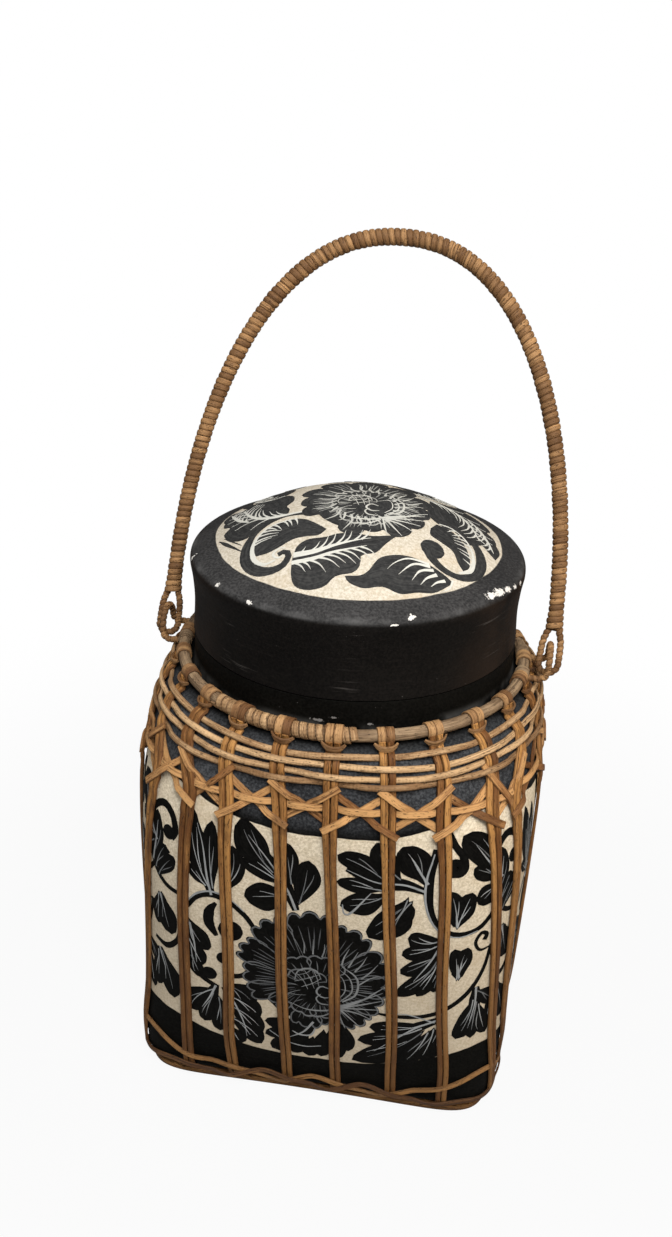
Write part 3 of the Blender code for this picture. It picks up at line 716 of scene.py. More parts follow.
class Brush:
    # paints on a skin, repeated at each of its places: flat black shapes and thin raised strokes
    def __init__(self, skin, fine):
        self.skin, self.fine = skin, fine
        self.places = []
        self.black, self.pale = Strips(), Strips()

    def slab(self, rows, lift):
        # rows = for each station the points across it; the back lies close to the skin
        for place in self.places:
            across = place(rows)
            back = self.skin(across[:, [-1, 0]], layers["back"])
            self.black.add(np.concatenate([self.skin(across, lift), back], axis=1))

    def stroke(self, points, widths, lift, black=False, tone=0.7, count=12):
        # width along the curve runs through the widths given
        centre = rounded(points, count)
        way = unit(np.gradient(centre, axis=0))
        width = np.interp(np.linspace(0, 1, count), np.linspace(0, 1, len(widths)), widths)
        edge = np.stack([-way[:, 1], way[:, 0]], axis=1) * width[:, None] / 2
        rows = np.stack([centre + edge, centre, centre - edge], axis=1)
        if black:
            self.slab(rows, lift)
            return
        rows = centre[:, None] + (rows - centre[:, None]) * self.fine
        for place in self.places:
            lifts = lift - layers["strokeEdge"] * np.array([1, 0, 1])
            self.pale.add(self.skin(place(rows), lifts), tone=tone)

    def blade(self, first, second):
        # black shape ruled between two curves with the same ends
        a, b = rounded(first, 30), rounded(second, 30)
        self.slab(a[:, None] + (b - a)[:, None] * np.linspace(0, 1, 7)[None, :, None], layers["shape"])

    def disc(self, x, y, radius, lift):
        # chords: x = radius t, half length = radius (1 - t^2)^0.5
        t = np.linspace(-0.995, 0.995, 13)[:, None]
        across = np.linspace(1, -1, 6)
        half = radius * np.sqrt(1 - t * t)
        self.slab(np.stack([x + radius * t + 0 * across, y + half * across], -1), lift)

    def lobe(self, x0, y0, x1, y1, width, bend, veins):
        # spine = root to tip + 4 t (1 - t) bend sideways; half width = width / 2 sin(pi t^1.3)^(0.9 - 0.4 t)
        root, way = np.array([x0, y0], float), np.array([x1 - x0, y1 - y0], float)
        side = np.array([-way[1], way[0]]) / np.hypot(*way)
        phase = dice.random() * 6.3

        def at(t, u):
            half = width / 2 * np.sin(math.pi * np.clip(t, 0, 1) ** 1.3) ** (0.9 - 0.4 * t)
            half = np.maximum(half * (1 + 0.05 * np.sin(9 * t + phase)), 0.06)
            return root + t[..., None] * way + (4 * t * (1 - t) * bend + u * half)[..., None] * side

        t = np.linspace(0, 1, 15)[:, None]
        self.slab(at(t + np.zeros(5), np.linspace(1, -1, 5) + 0 * t), layers["shape"])
        for aim in (0.0, -0.5, 0.5)[:veins]:
            first, last = (0.05, 0.80) if aim == 0 else (0.26, 0.70)
            t = np.linspace(first, last + 0.05 * dice.normal(), 6)
            u = aim * (0.25 + 0.75 * (t - first) / (last - first)) + 0.06 * dice.normal()
            broad = 0.75 + 0.25 * dice.random()
            widths = [broad, 0.8 * broad, 0.5, 0.14] if aim == 0 else [0.16, 0.75 * broad, 0.5, 0.12]
            self.stroke(at(t, u), widths, layers["shape"] + layers["step"], tone=0.25 + 0.5 * dice.random())

    def leaf(self, rib, lobes, body, veins):
        # a black body along the rib joins the lobes at their roots
        widths = [0.5 * body, body, 0.9 * body, 0.3 * body]
        self.stroke(rib, widths, layers["stem"], black=True, count=18)
        for shape in lobes:
            self.lobe(*shape, veins)
        self.stroke(rib, [1.5, 1.2, 0.8, 0.2], layers["rib"], tone=0.6, count=18)

    def feather(self, rib, reach, hand, count, first, last, lean=0.9):
        # fine strokes that leave a rib along it and bend out to one side
        route = rounded(rib, 60)
        way = unit(np.gradient(route, axis=0))
        for share in np.linspace(first, last, count) + 0.012 * dice.normal(size=count):
            i = int(np.clip(share, 0, 1) * 59)
            out = hand * np.array([-way[i, 1], way[i, 0]])
            far = reach * (0.55 + 0.45 * math.sin(math.pi * share)) * (1 + 0.1 * dice.normal())
            middle = route[i] + (0.42 * out + 0.62 * lean * way[i]) * far
            tip = route[i] + (out + lean * way[i]) * far
            widths = [1.25, 0.9, 0.55, 0.12]
            self.stroke([route[i], middle, tip], widths, layers["feather"], tone=0.75, count=9)

    def petal(self, x, y, facing, spread, reach, scallops, lift, rays, tone, rim):
        # rays from the root, s = -1 to 1 across them:
        # length = reach (0.91 - 0.14 s^4 + 0.09 |cos(pi / 2 (scallops (s + 1) - 1))|^0.6)
        root = np.array([x, y], float)

        def at(share, s):
            scallop = np.abs(np.cos((scallops * (s + 1) - 1) * math.pi / 2)) ** 0.6
            edge = reach * (0.91 - 0.14 * s**4 + 0.09 * scallop)
            angle = np.radians(facing + 1.15 * spread * s * (0.6 + 0.4 * share))
            return root + (share * edge)[..., None] * np.stack([np.cos(angle), np.sin(angle)], -1)

        around = np.linspace(-1, 1, 8 * scallops + 1)
        self.slab(at(np.linspace(0.1, 1, 5) + 0 * around[:, None], around[:, None] + np.zeros(5)), lift)
        if rim:
            # pale edge: up one side, along the scallops, down the other
            up = np.linspace(0.45, 0.93, 5)
            sides = at(up, -0.97 + 0 * up), at(up[::-1], 0.97 + 0 * up)
            edge = np.concatenate([sides[0], at(0.98 + 0 * around, around), sides[1]])
            widths = rim * np.array([0.15, 0.7, 1.25, 1.35, 1.35, 1.25, 0.7, 0.15])
            self.stroke(edge, widths, lift + layers["step"], tone=tone, count=len(edge))
        for number in range(rays):
            s = -0.72 + 1.44 * (number + 0.5) / rays + 0.05 * dice.normal()
            share = np.linspace(0.84 - 0.06 * dice.random(), 0.46 + 0.06 * dice.random(), 5)
            points, widths = at(share, s + 0.12 * (share - 0.5)), [0.14, 0.65, 0.6, 0.2]
            self.stroke(points, widths, lift + layers["step"], tone=tone - 0.08, count=8)

    def peony(self, x, y, scale, tone, rim, fringe=0, ruffle=1.0):
        # outer petals, a cup of scalloped ones round a hatched bud, and strokes that sweep out of the heart
        self.disc(x, y, 26 * scale, layers["disc"])
        for number, (facing, spread, reach, scallops) in enumerate(blossom["outer"]):
            lift = layers["shape"] + 0.025 * (number % 3)
            edges = max(1, round(scallops * ruffle))
            self.petal(x, y, facing, spread, reach * scale, edges, lift, 4, tone, rim)
        for angle in np.radians(np.arange(fringe) * 360 / max(fringe, 1)):
            turn = np.array([angle, angle + 0.16, angle + 0.10])
            far = np.array([15.0, 20.0, 26.0 + 2.5 * dice.normal()]) * scale
            points = np.stack([x + far * np.cos(turn), y + far * np.sin(turn)], axis=1)
            self.stroke(points, [1.3, 0.9, 0.12], layers["fringe"], tone=tone + 0.15, count=9)
        for number, (dx, dy, facing, spread, reach, scallops) in enumerate(blossom["cup"]):
            lift = layers["cup"] + 0.02 * (number % 3)
            self.petal(x + dx * scale, y + dy * scale, facing, spread, reach * scale, scallops, lift, 3,
                       tone + 0.05, max(rim, 0.6))
        for route, widths in blossom["strokes"]:
            points = np.array([x, y]) + np.array(route) * scale
            self.stroke(points, np.array(widths) * scale**0.5, layers["heart"], tone=tone + 0.22)

    def finish(self, name, black, pale, body):
        self.black.make(f"{name}_motif", black, body, "black_lacquer")
        self.pale.make(f"{name}_strokes", pale, body, "black_lacquer")


# a blossom about 68 mm across at scale 1. Outer petals = facing and half spread in degrees, reach, scallops;
# cup petals have their root first; strokes = points and widths, all from the blossom's middle
blossom = {
    "outer": [(262, 16, 30, 3), (288, 13, 27, 2), (222, 14, 26, 2), (316, 15, 33, 3), (200, 12, 33, 2),
              (342, 14, 33, 2), (177, 13, 34, 2), (6, 14, 34, 2), (32, 14, 38, 2), (153, 13, 39, 3),
              (62, 15, 40, 3), (125, 14, 42, 3), (94, 16, 43, 3)],
    "cup": [(2, -6, 228, 34, 17, 3), (2, -6, 288, 32, 16, 3), (0, -3, 172, 30, 18, 3),
            (-2, -2, 122, 30, 19, 3), (1, -2, 74, 30, 20, 3), (-3, -4, 105, 62, 13, 4)],
    "strokes": [
        ([(12, -12), (20, -8), (29, 1), (32, 4)], (1.7, 1.4, 1.0, 0.3)),
        ([(12, -12), (22, -6), (31, 0)], (1.4, 1.0, 0.3)),
        ([(12, -13), (22, -9), (31, -5)], (1.5, 1.1, 0.3)),
        ([(12, -13), (21, -12), (30, -11)], (1.5, 1.0, 0.3)),
        ([(12, -14), (20, -15), (27, -18)], (1.4, 1.0, 0.3)),
        ([(12, -14), (17, -19), (22, -24)], (1.3, 0.9, 0.3)),
        ([(11, -14), (13, -21), (15, -26)], (1.2, 0.9, 0.3)),
        ([(12, -12), (6, -16), (-3, -17), (-11, -14)], (1.4, 1.2, 0.9, 0.3)),
        ([(10, -15), (4, -20), (-4, -21)], (1.1, 0.8, 0.2)),
        ([(13, -9), (19, -3), (19, 7), (12, 13)], (1.0, 1.3, 1.2, 0.3)),
        ([(12, -9), (17, -2), (16, 6), (11, 11)], (0.6, 0.9, 0.8, 0.2)),
        ([(11, -8), (14, -2), (13, 5), (10, 8)], (0.5, 0.7, 0.6, 0.2)),
        ([(12, 14), (13, 19), (15, 24)], (1.1, 0.8, 0.2)), ([(15, 13), (17, 18), (19, 23)], (1.1, 0.8, 0.2)),
        ([(18, 11), (21, 16), (23, 21)], (1.1, 0.8, 0.2)), ([(21, 7), (25, 12), (28, 17)], (1.1, 0.8, 0.2)),
        ([(20, 3), (25, 8), (29, 10)], (1.0, 0.7, 0.2)),
        ([(-5, 18), (-5, 23), (-6, 27)], (0.9, 0.7, 0.2)), ([(-1, 18), (-1, 23), (-1, 27)], (0.9, 0.7, 0.2)),
        ([(3, 17), (4, 21), (4, 25)], (0.9, 0.7, 0.2)),
        ([(-9, 1), (-8, 6), (-4, 9), (1, 8), (3, 3)], (0.5, 0.8, 0.8, 0.7, 0.3)),
        ([(-9, 0), (-3, 3), (2, 6)], (0.3, 0.5, 0.3)), ([(-8, 4), (-4, 6), (-1, 9)], (0.3, 0.5, 0.3)),
        ([(-6, -3), (-1, 0), (3, 4)], (0.3, 0.5, 0.3)), ([(-8, 5), (-5, 1), (-3, -4)], (0.3, 0.5, 0.3)),
        ([(-5, 8), (-2, 3), (0, -3)], (0.3, 0.5, 0.3)), ([(-1, 9), (1, 4), (2, -1)], (0.3, 0.5, 0.3)),
        ([(7, -2), (3, -1), (1, -5), (4, -8), (8, -7)], (0.4, 1.1, 1.2, 1.0, 0.4)),
        ([(8, -12), (3, -12), (1, -9), (3, -6)], (0.4, 1.0, 1.0, 0.3)),
    ],
}

# one side of the wall; x = way round from the side's middle, y = height. Leaf = rib, then lobes
# (root x, root y, tip x, tip y, width, bend); stem = points, widths; ball = x, y, radius
wallPainting = {
    "body": 6.5,
    "veins": 2,
    "paleTone": 0.6,
    "leaves": [
        ([(-8, 121), (-12, 132), (-20, 146), (-29, 158)],
         [(-17, 139, -33, 165, 14, 2), (-13, 134, -32, 145, 10, -1), (-10, 130, -31, 125, 15, 1),
          (-10, 134, -13, 157, 9, 0), (-7, 124, -3, 149, 12, -1)]),
        ([(-46, 122), (-48, 132), (-50, 148), (-53, 158)],
         [(-46, 124, -56, 164, 10, 3), (-45, 124, -46, 161, 9, 1), (-42, 124, -36, 151, 11, -3),
          (-48, 126, -58, 136, 6, 0)]),
        ([(47, 139), (38, 142), (26, 142), (13, 147)],
         [(31, 142, 9, 154, 11, -2), (37, 144, 25, 162, 12, 2), (30, 138, 9, 140, 8, 0),
          (32, 137, 11, 127, 12, 2), (40, 136, 24, 111, 15, 3), (42, 134, 34, 114, 14, -2)]),
        ([(48, 143), (44, 149), (40, 156)], [(47, 143, 36, 161, 15, -1)]),
        ([(62, 120), (61, 128)], [(62, 118, 58, 139, 9, -1), (62, 118, 68, 137, 11, 1)]),
        ([(65, 90), (64, 98)], [(64, 88, 62, 107, 8, -1), (65, 88, 68, 107, 9, 1)]),
        ([(57, 114), (52, 101), (45, 88)],
         [(56, 113, 41, 113, 13, 3), (55, 110, 39, 103, 9, 1), (55, 106, 39, 92, 10, 2),
          (55, 102, 38, 78, 9, 2), (55, 100, 47, 79, 8, 1), (56, 98, 54, 82, 7, 0)]),
        ([(58, 65), (48, 59), (38, 49), (30, 40)],
         [(52, 62, 27, 56, 10, 2), (52, 60, 22, 46, 10, 2), (52, 58, 20, 31, 13, 3),
          (54, 58, 42, 32, 10, 1), (56, 60, 51, 38, 13, 1), (58, 61, 58, 44, 8, 0)]),
        ([(74, 82), (74, 72), (72, 62)],
         [(73, 76, 66, 52, 11, 2), (75, 74, 73, 51, 8, 0), (76, 72, 81, 51, 9, -1), (74, 80, 85, 68, 9, 1)]),
        ([(84, 140), (76, 150), (69, 160)],
         [(82, 142, 63, 165, 14, -2), (82, 141, 68, 149, 9, 0), (82, 139, 71, 130, 11, 0)]),
        ([(-79, 128), (-77, 140), (-76, 150)],
         [(-80, 127, -77, 155, 9, -2), (-77, 124, -70, 140, 10, 1), (-75, 121, -65, 136, 9, 1)]),
        ([(-74, 112), (-71, 103)], [(-73, 113, -67, 91, 13, -1), (-75, 112, -76, 93, 9, 0)]),
        ([(-75, 79), (-71, 68)], [(-74, 79, -66, 52, 12, 1), (-76, 78, -76, 55, 9, 0)]),
        ([(-57, 103), (-55, 92), (-54, 80)],
         [(-58, 106, -48, 89, 12, -2), (-58, 94, -51, 79, 9, 0), (-57, 84, -52, 71, 7, 0)]),
        ([(-41, 68), (-36, 58), (-32, 46), (-31, 37)],
         [(-41, 70, -27, 59, 14, 2), (-40, 63, -24, 52, 11, 2), (-40, 57, -23, 42, 11, 2),
          (-39, 49, -24, 33, 11, 2), (-38, 42, -34, 31, 9, 0)]),
        ([(-45, 68), (-48, 60), (-52, 52)],
         [(-45, 66, -58, 49, 13, -2), (-46, 64, -51, 43, 10, 0), (-44, 62, -44, 38, 10, 1)]),
        ([(1, 54), (-4, 46), (-12, 40)],
         [(-2, 53, -22, 50, 9, 2), (-3, 50, -22, 41, 9, 1), (-4, 46, -19, 31, 11, 1), (-1, 44, -9, 30, 9, 0),
          (1, 44, -1, 29, 9, 0), (6, 50, 5, 30, 10, 0), (10, 55, 13, 30, 11, 0), (12, 58, 18, 37, 10, 0)], 0),
    ],
    "stems": [
        ([(27, 66), (38, 65), (50, 66.5), (60, 71), (70, 80), (77, 92), (80, 105)],
         (1.0, 2.2, 2.2, 2.4, 2.2, 1.8)),
        ([(51, 160), (48.5, 148), (48.5, 135), (51, 125), (56, 118), (64, 115), (73, 117), (80, 124),
          (86, 132), (92, 138)], (3.4, 4.2, 4.4, 3.2, 2.6, 2.6, 2.4, 2.2, 2.0)),
        ([(56, 166), (60, 160), (63, 155), (62, 149), (58, 149)], (5.0, 3.2, 3.4, 6.0, 5.5)),
        ([(79, 104), (74, 104), (71.5, 109), (74, 113.5), (77, 112), (76, 109)], (0.9, 1.5, 1.7, 1.9, 2.6)),
        ([(36, 120), (41, 124), (42, 129), (39, 132), (37, 129)], (4.0, 3.0, 2.2, 2.4, 2.6)),
        ([(-58, 112), (-53, 119), (-46, 122), (-38, 120), (-31, 114), (-27, 108)], (2.0, 2.4, 2.6, 2.6, 2.2)),
        ([(-62, 117), (-70, 119), (-77, 125), (-81, 134), (-82, 147), (-79, 156), (-73, 160), (-67, 157),
          (-64.5, 150), (-67, 145.5)], (2.2, 2.4, 2.6, 2.6, 3.0, 3.2, 3.4, 3.4, 4.0)),
        ([(-62, 97), (-64, 89), (-70, 83), (-78, 84)], (1.6, 2.6, 3.2, 1.8)),
        ([(-44, 118), (-47, 113), (-47.5, 106), (-44, 99)], (1.6, 5.0, 5.0, 2.0)),
        ([(-41, 77), (-37, 76), (-33, 77), (-30, 80), (-29, 84)], (3.2, 3.0, 2.6, 2.4, 1.2)),
        ([(-59, 88), (-57, 79), (-52, 72), (-44, 67)], (2.0, 2.2, 2.4, 2.6)),
    ],
    "balls": [(-68.5, 147.5, 3.6), (-37.5, 103.5, 5.8), (-41, 86, 3.4), (-48, 75, 3.7), (59, 150.5, 4.6)],
    "pale": [
        ([(50, 158), (47.2, 146), (47.2, 134), (50, 124), (55, 117), (63, 113.6), (72, 115.6)],
         (0.7, 1.3, 1.2, 1.0, 0.6)),
        ([(-58, 115), (-53, 121), (-46, 124), (-38, 122), (-31, 116)], (0.7, 1.4, 1.2, 0.9, 0.5)),
        ([(-9, 46), (-5, 44), (0, 45), (2, 50)], (0.6, 1.2, 1.2, 0.6)),
        ([(-20, 44), (-12, 38), (-3, 36), (5, 38)], (0.4, 0.8, 0.9, 0.4)),
        ([(24, 136), (16, 124), (13, 123), (12, 128)], (0.5, 1.0, 1.4, 0.6)),
        ([(56, 63), (45, 66.8), (36, 66.8)], (0.9, 0.8, 0.4)),
    ],
    "peony": (1.0, 79.0, 1.0),
}

# half of the lid's round field from above, the front below; turned by 180 degrees it is the other half
lidPainting = {
    "paleTone": 0.85,
    "blades": [
        ([(-20, -43), (-19.5, -38), (-16, -34.5), (-9, -33.3), (-4, -31), (3, -30.2), (10, -30),
          (18.5, -26.5)],
         [(-20, -46), (-19, -52), (-16.5, -56.5), (-11, -58.2), (-5, -56.5), (-1.5, -52), (5, -49.5),
          (7, -45.5), (6.8, -41), (12, -38.5), (15, -33), (18.6, -26.7)]),
        ([(-38.5, -37), (-38, -29), (-33, -23), (-26, -20.5), (-20, -21), (-14, -25), (-9.5, -28.5)],
         [(-35.5, -39.5), (-31, -39), (-27, -37), (-22, -33.5), (-17, -32.5), (-12, -32), (-9.6, -28.8)]),
        ([(-38, -20), (-41, -25), (-45, -26.5), (-51, -23), (-55, -16), (-53.5, -11), (-57, -8), (-58, -2),
          (-54, 3), (-50, 10)],
         [(-28, -15.2), (-28, -11), (-30, -7), (-28, -2), (-30, 5), (-36, 9), (-41, 8), (-45, 13),
          (-49.8, 10.3)]),
        ([(11, -50), (13, -42), (18, -38), (25, -35.8), (33, -36.2), (40, -38), (43, -39.5)],
         [(2, -51.5), (4, -54), (10, -55.3), (17, -53), (24, -53.7), (30, -50.8), (37, -47.5),
          (43.1, -39.8)]),
        ([(33, -9), (40, -9.5), (45, -14), (48, -21), (48.5, -27), (46.5, -30.5)],
         [(31, -14), (31.5, -18.5), (36, -20.5), (41, -22.5), (44, -28), (46.3, -30.7)]),
        ([(33, 15), (33, 5), (39, 3.5), (44, -2), (51, -5), (57, -10), (58.5, -11)],
         [(37, 17), (46, 16), (52, 11), (57, 4), (60, -3), (58.6, -10.8)]),
    ],
    "stems": [
        ([(-19.5, -17), (-28, -16), (-35, -19), (-39.8, -25), (-41.2, -33), (-39.3, -41), (-34, -47),
          (-28, -48.5), (-23.3, -46.5), (-22, -42), (-24, -39.8), (-26.5, -41)],
         (1.2, 2.2, 2.6, 2.8, 3.2, 4.2, 4.8, 4.8, 4.2, 3.2, 2.6, 2.2)),
        ([(31.5, -6.5), (36, -4), (43, -4.8), (50, -10.5), (53, -19.5), (51.5, -29), (46, -34.7),
          (39.5, -35.5), (34, -32.5), (31.5, -28)], (1.4, 2.0, 2.6, 4.0, 4.6, 4.2, 3.2, 2.6, 3.4, 5.0)),
    ],
    "balls": [(33.2, -26.8, 4.9)],
    "pale": [
        ([(-27, -43.5), (-31, -45), (-35.6, -42), (-38.2, -36), (-38.2, -30), (-34.8, -23.5), (-28, -20.6),
          (-21, -20)], (0.8, 1.8, 2.3, 1.9, 1.3, 1.0, 0.7, 0.2)),
        ([(-24, -42.2), (-26.6, -42.6), (-28.6, -40.4), (-26.6, -37.8), (-24, -38)],
         (0.6, 1.1, 1.3, 1.0, 0.4)),
        ([(34, -8), (39, -6.8), (44.5, -9.5), (48.2, -15), (49.9, -22), (49, -28.8), (45, -33)],
         (1.0, 0.8, 0.9, 1.2, 1.7, 2.3, 1.0)),
        ([(33, -36), (25, -37), (20, -41), (17.5, -45)], (1.5, 1.0, 0.6, 0.15)),
        ([(33.5, -37), (27, -39), (22, -46)], (1.6, 1.0, 0.15)),
        ([(35, -38), (30, -41), (27.5, -46.5)], (1.7, 1.0, 0.15)),
        ([(36.5, -39.5), (33, -43), (31, -47)], (1.8, 1.0, 0.15)),
        ([(40, -40.5), (37, -43), (35, -46)], (1.6, 0.9, 0.15)),
        ([(43, -38.5), (42, -43), (39, -46.5)], (1.1, 0.7, 0.15)),
        ([(-20, -42.5), (-12, -41), (-4, -37.3), (4, -33.6), (9, -31.5)], (3.4, 2.8, 1.7, 0.9, 0.2)),
        ([(-20, -46), (-12, -44.6), (-5, -41.4), (2, -38.6), (8, -36)], (2.6, 2.2, 1.6, 0.9, 0.2)),
        ([(-22, -15.2), (-33, -15.6), (-41, -12.5), (-47, -5), (-51, 4)], (1.2, 2.4, 2.0, 1.4, 0.4)),
        ([(45, 13), (50, 8), (54.5, 0), (57.5, -7)], (0.8, 1.8, 1.6, 0.4)),
    ],
    "ribs": [([(-20, -44.6), (-12, -43), (-5, -39.6), (3, -36), (12, -32)], (1.2, 1.1, 0.8, 0.6, 0.3))],
    "feathers": [                    # rib, reach, side, count, first and last share of the rib, lean
        ([(-31, -45), (-35.6, -42), (-38.2, -36), (-38.2, -30), (-34.8, -23.5), (-28, -20.6), (-21, -20)],
         7.5, -1, 9, 0.36, 0.95, 0.35),
        ([(-20, -42.5), (-12, -41), (-4, -37.3), (4, -33.6), (10, -31.5)], 6.5, 1, 8, 0.08, 0.86),
        ([(-20, -46), (-12, -44.6), (-5, -41.4), (2, -38.6), (8, -36)], 8.0, -1, 9, 0.0, 0.9),
        ([(45, -33), (49, -28.8), (49.9, -22), (48.2, -15), (44.5, -9.5), (39, -6.8)],
         7.0, 1, 8, 0.3, 0.95, 0.3),
        ([(-24, -15.5), (-33, -15.6), (-41, -12.5), (-47, -5), (-51, 4)], 9.0, -1, 8, 0.1, 0.9),
        ([(-24, -15.5), (-33, -15.6), (-41, -12.5), (-47, -5), (-51, 4)], 8.0, 1, 6, 0.3, 0.95),
        ([(45, 13), (50, 8), (54.5, 0), (57.5, -7)], 7.0, -1, 6, 0.1, 0.85),
    ],
    "scuffs": [([(-56, -20), (-50, -27), (-43, -34)], (0.4, 1.6, 1.0, 0.3)),
               ([(-54, -19.5), (-49, -25), (-44, -30)], (0.2, 0.8, 0.5, 0.2))],
    "peony": (3.0, -7.0, 0.80),
}


def paintField(brush, field, places):
    brush.places = places
    for route, widths in field["stems"]:
        brush.stroke(route, widths, layers["stem"], black=True, count=34)
    for x, y, radius in field["balls"]:
        brush.disc(x, y, radius, layers["shape"])
    for first, second in field.get("blades", ()):
        brush.blade(first, second)
    for rib, lobes, *veins in field.get("leaves", ()):
        brush.leaf(rib, lobes, field["body"], *(veins or [field["veins"]]))
    for shape in field.get("feathers", ()):
        brush.feather(*shape)
    for route, widths in field["pale"]:
        brush.stroke(route, widths, layers["pale"], tone=field["paleTone"], count=22)
    for route, widths in field.get("ribs", ()):
        brush.stroke(route, widths, layers["overRib"], black=True, count=22)


# way round the wall at mid height, from the front's middle
roundWay = np.linspace(-math.pi, math.pi, 2881)
midHeight = np.full(len(roundWay), 100.0)
wayAlong = np.linalg.norm(np.diff(outline(roundWay, midHeight, wall), axis=0), axis=1)
wayAlong = np.concatenate([[0], np.cumsum(wayAlong)]) - wayAlong.sum() / 2
sideWay = wayAlong[-1] / 2


def wallSkin(points, lift):
    # x = way round the wall at mid height from the front's middle, y = height
    way = np.mod(points[..., 0] - wayAlong[0], 4 * sideWay) + wayAlong[0]
    return onWall(np.interp(way, wayAlong, roundWay), points[..., 1], lift)


def domeSkin(points, lift):
    # kept within the round field; height = crown + lift
    reach = np.linalg.norm(points, axis=-1)
    limit = lid["medallion"][0] - 0.2
    points = points * np.minimum(1, limit / np.maximum(reach, 1))[..., None]
    return np.concatenate([points, (dome(np.linalg.norm(points, axis=-1)) + lift)[..., None]], axis=-1)


sides = [lambda p, k=k: p + np.array([k * sideWay, 0]) for k in range(4)]
brush = Brush(wallSkin, fine=0.78)
paintField(brush, wallPainting, sides)
brush.peony(*wallPainting["peony"], tone=0.2, rim=0.85)
brush.finish("wall", wallMotif, wallStroke, "basket")
brush = Brush(domeSkin, fine=0.85)
paintField(brush, lidPainting, [lambda p: p, lambda p: -p])
brush.places = [lambda p: p]
brush.peony(*lidPainting["peony"], tone=0.45, rim=0.0, fringe=26, ruffle=0.4)
for route, widths in lidPainting["scuffs"]:
    brush.stroke(route, widths, layers["scuff"], black=True)
brush.finish("lid", lidMotif, lidStroke, "lid")
print("painting done")


# Rattan net

net = {
    "stakes": 24,
    "first": 3.0,                     # degrees from the front, at the rim
    # degrees that a stake leaves its place at the rim by: at the band, at the foot
    "shift": {-8: (4, 4), -7: (6, 6), -6: (8, 8), -5: (11, 11), -4: (11, 9), -3: (8, 7.2), -2: (3.5, 3.3),
              -1: (2, 4.7), 0: (0.7, 5.2), 1: (0.4, 6.2), 2: (-2, 3.2), 3: (-4, 1), 4: (-11.5, -8),
              5: (-6, -6), 6: (-2, -2)},
    "shiftBelow": 7.2,                # the second shift starts this far below the band's middle
    "meanRadius": 88.0,
    "caneWidth": 3.15,
    "caneThickness": 1.45,
    "caneGap": 0.12,
    "narrowed": 0.84,                 # share of a cane's width that is left below the band
    "narrowedTo": 148.0,
    "narrowedRise": 16.0,             # a cane is at its full width again when it is higher by this
    "widthSpread": 0.04,
    "tail": (17.0, 11.0, 5.0),        # points of a stake under the base, in from the wall's edge
    "pointsBelow": (15.0, 160.0, 7.0),        # heights of a stake's points: from, to, step
    "pointsAbove": (161.0, 197.2, 0.75),
    "seat": 0.45,
    "sway": 0.45,
    "swayWave": 23.0,
    "swayFrom": 15.0,                 # height at which a stake starts to sway
    "swayRise": 20.0,                 # it sways fully when it is higher by this
    "bandLift": 0.75,                 # from the band up the stakes run further out by this
    "bandLiftFrom": 160.0,
    "bandLiftRise": 4.0,
    "foldWidth": 3.55,
    "foldThickness": 0.75,
    "foldPlace": (1.76, 0.35),        # to its side of the pair's middle, and up off the hoop
    "foldAngles": (-24.0, 215.0, 12.0),       # degrees round the hoop from its outside: from, to, step
    "overRod": 0.15,
    "overBinding": 0.95,
    "hoopRadius": 76.6,
    "hoopHeight": 203.6,
    "rod": 5.2,
    "rodLobes": 5,
    "rodLobeDepth": 0.05,
    "weaverHeights": (195.4, 192.3, 189.2, 186.1),
    "weaverWidth": 2.75,
    "weaverThickness": 1.4,
    "weaverLift": 2.0,
    "weaverReach": 1.25,
    "weaverPush": 0.35,               # a stake bows out by this over a weaver, and in under one
    "weaverPushReach": 1.15,
    "weaverWaves": ((0.35, 3, 2.1), (0.25, 7, 1.0)),      # height, waves round, shift from ring to ring
    "bandMiddle": 175.4,
    "bandReach": 7.3,
    "bandTips": (3.4, 1.6),           # a strip's ends go past the pairs by this: over one, under the next
    "bandLow": 0.6,
    "bandHigh": 3.0,
    "bandCrossed": 0.95,              # the rising strip lies over the falling one by this
    "bandCrossedReach": 3.2,
    "bandHump": (9.0, 5.0),           # over a pair: the hump ends this far from it, and falls over this
    "bandTip": (0.62, -4.6, 1.3),     # share of the hump at the tip, where the tip starts, its rise
    "barRise": 1.9,
    "barRiseFrom": (0.25, 0.6),       # in sin(pi * share of the gap): where it begins, and over how much
    "barWave": (0.4, 2, 0.7),         # height, waves round, shift
    "stripWidth": 3.2,
    "stripThickness": 0.8,
    "stripSpread": 0.05,
    "boundFrom": -38.0,
    "boundTo": 9.0,
    "bindingLift": 0.42,
    "bindingStrand": (3.3, 3.05, 0.75),       # pitch, width, thickness
}


def stakeAzimuth(k, height):
    # evenly spaced at the rim; each is shifted by its own angle at the band, and by another at the foot
    half = net["stakes"] // 2
    k = (k + half) % net["stakes"] - half
    height = np.asarray(height, float)
    above, below = net["weaverHeights"][0], net["bandMiddle"] - net["shiftBelow"]
    leaned = np.clip((below - height) / (below - wall["floor"]), 0, 1)
    atBand, atFoot = net["shift"].get(k, (0, 0))
    shift = (atBand + (atFoot - atBand) * leaned) * ease((above - height) / (above - below))
    return np.radians(net["first"] + k * 360 / net["stakes"] + shift)


def hoopPoint(azimuth, angle=0.0, radius=0.0):
    # point on a ring round the hoop's middle line; angle 0 faces out, 90 faces up
    azimuth = np.asarray(azimuth, float)
    r = net["hoopRadius"] + radius * np.cos(angle)
    height = net["hoopHeight"] + radius * np.sin(angle) + 0 * azimuth
    return np.stack([r * np.sin(azimuth), -r * np.cos(azimuth), height], -1)


def outwardAt(azimuth):
    return np.array([math.sin(azimuth), -math.cos(azimuth), 0])


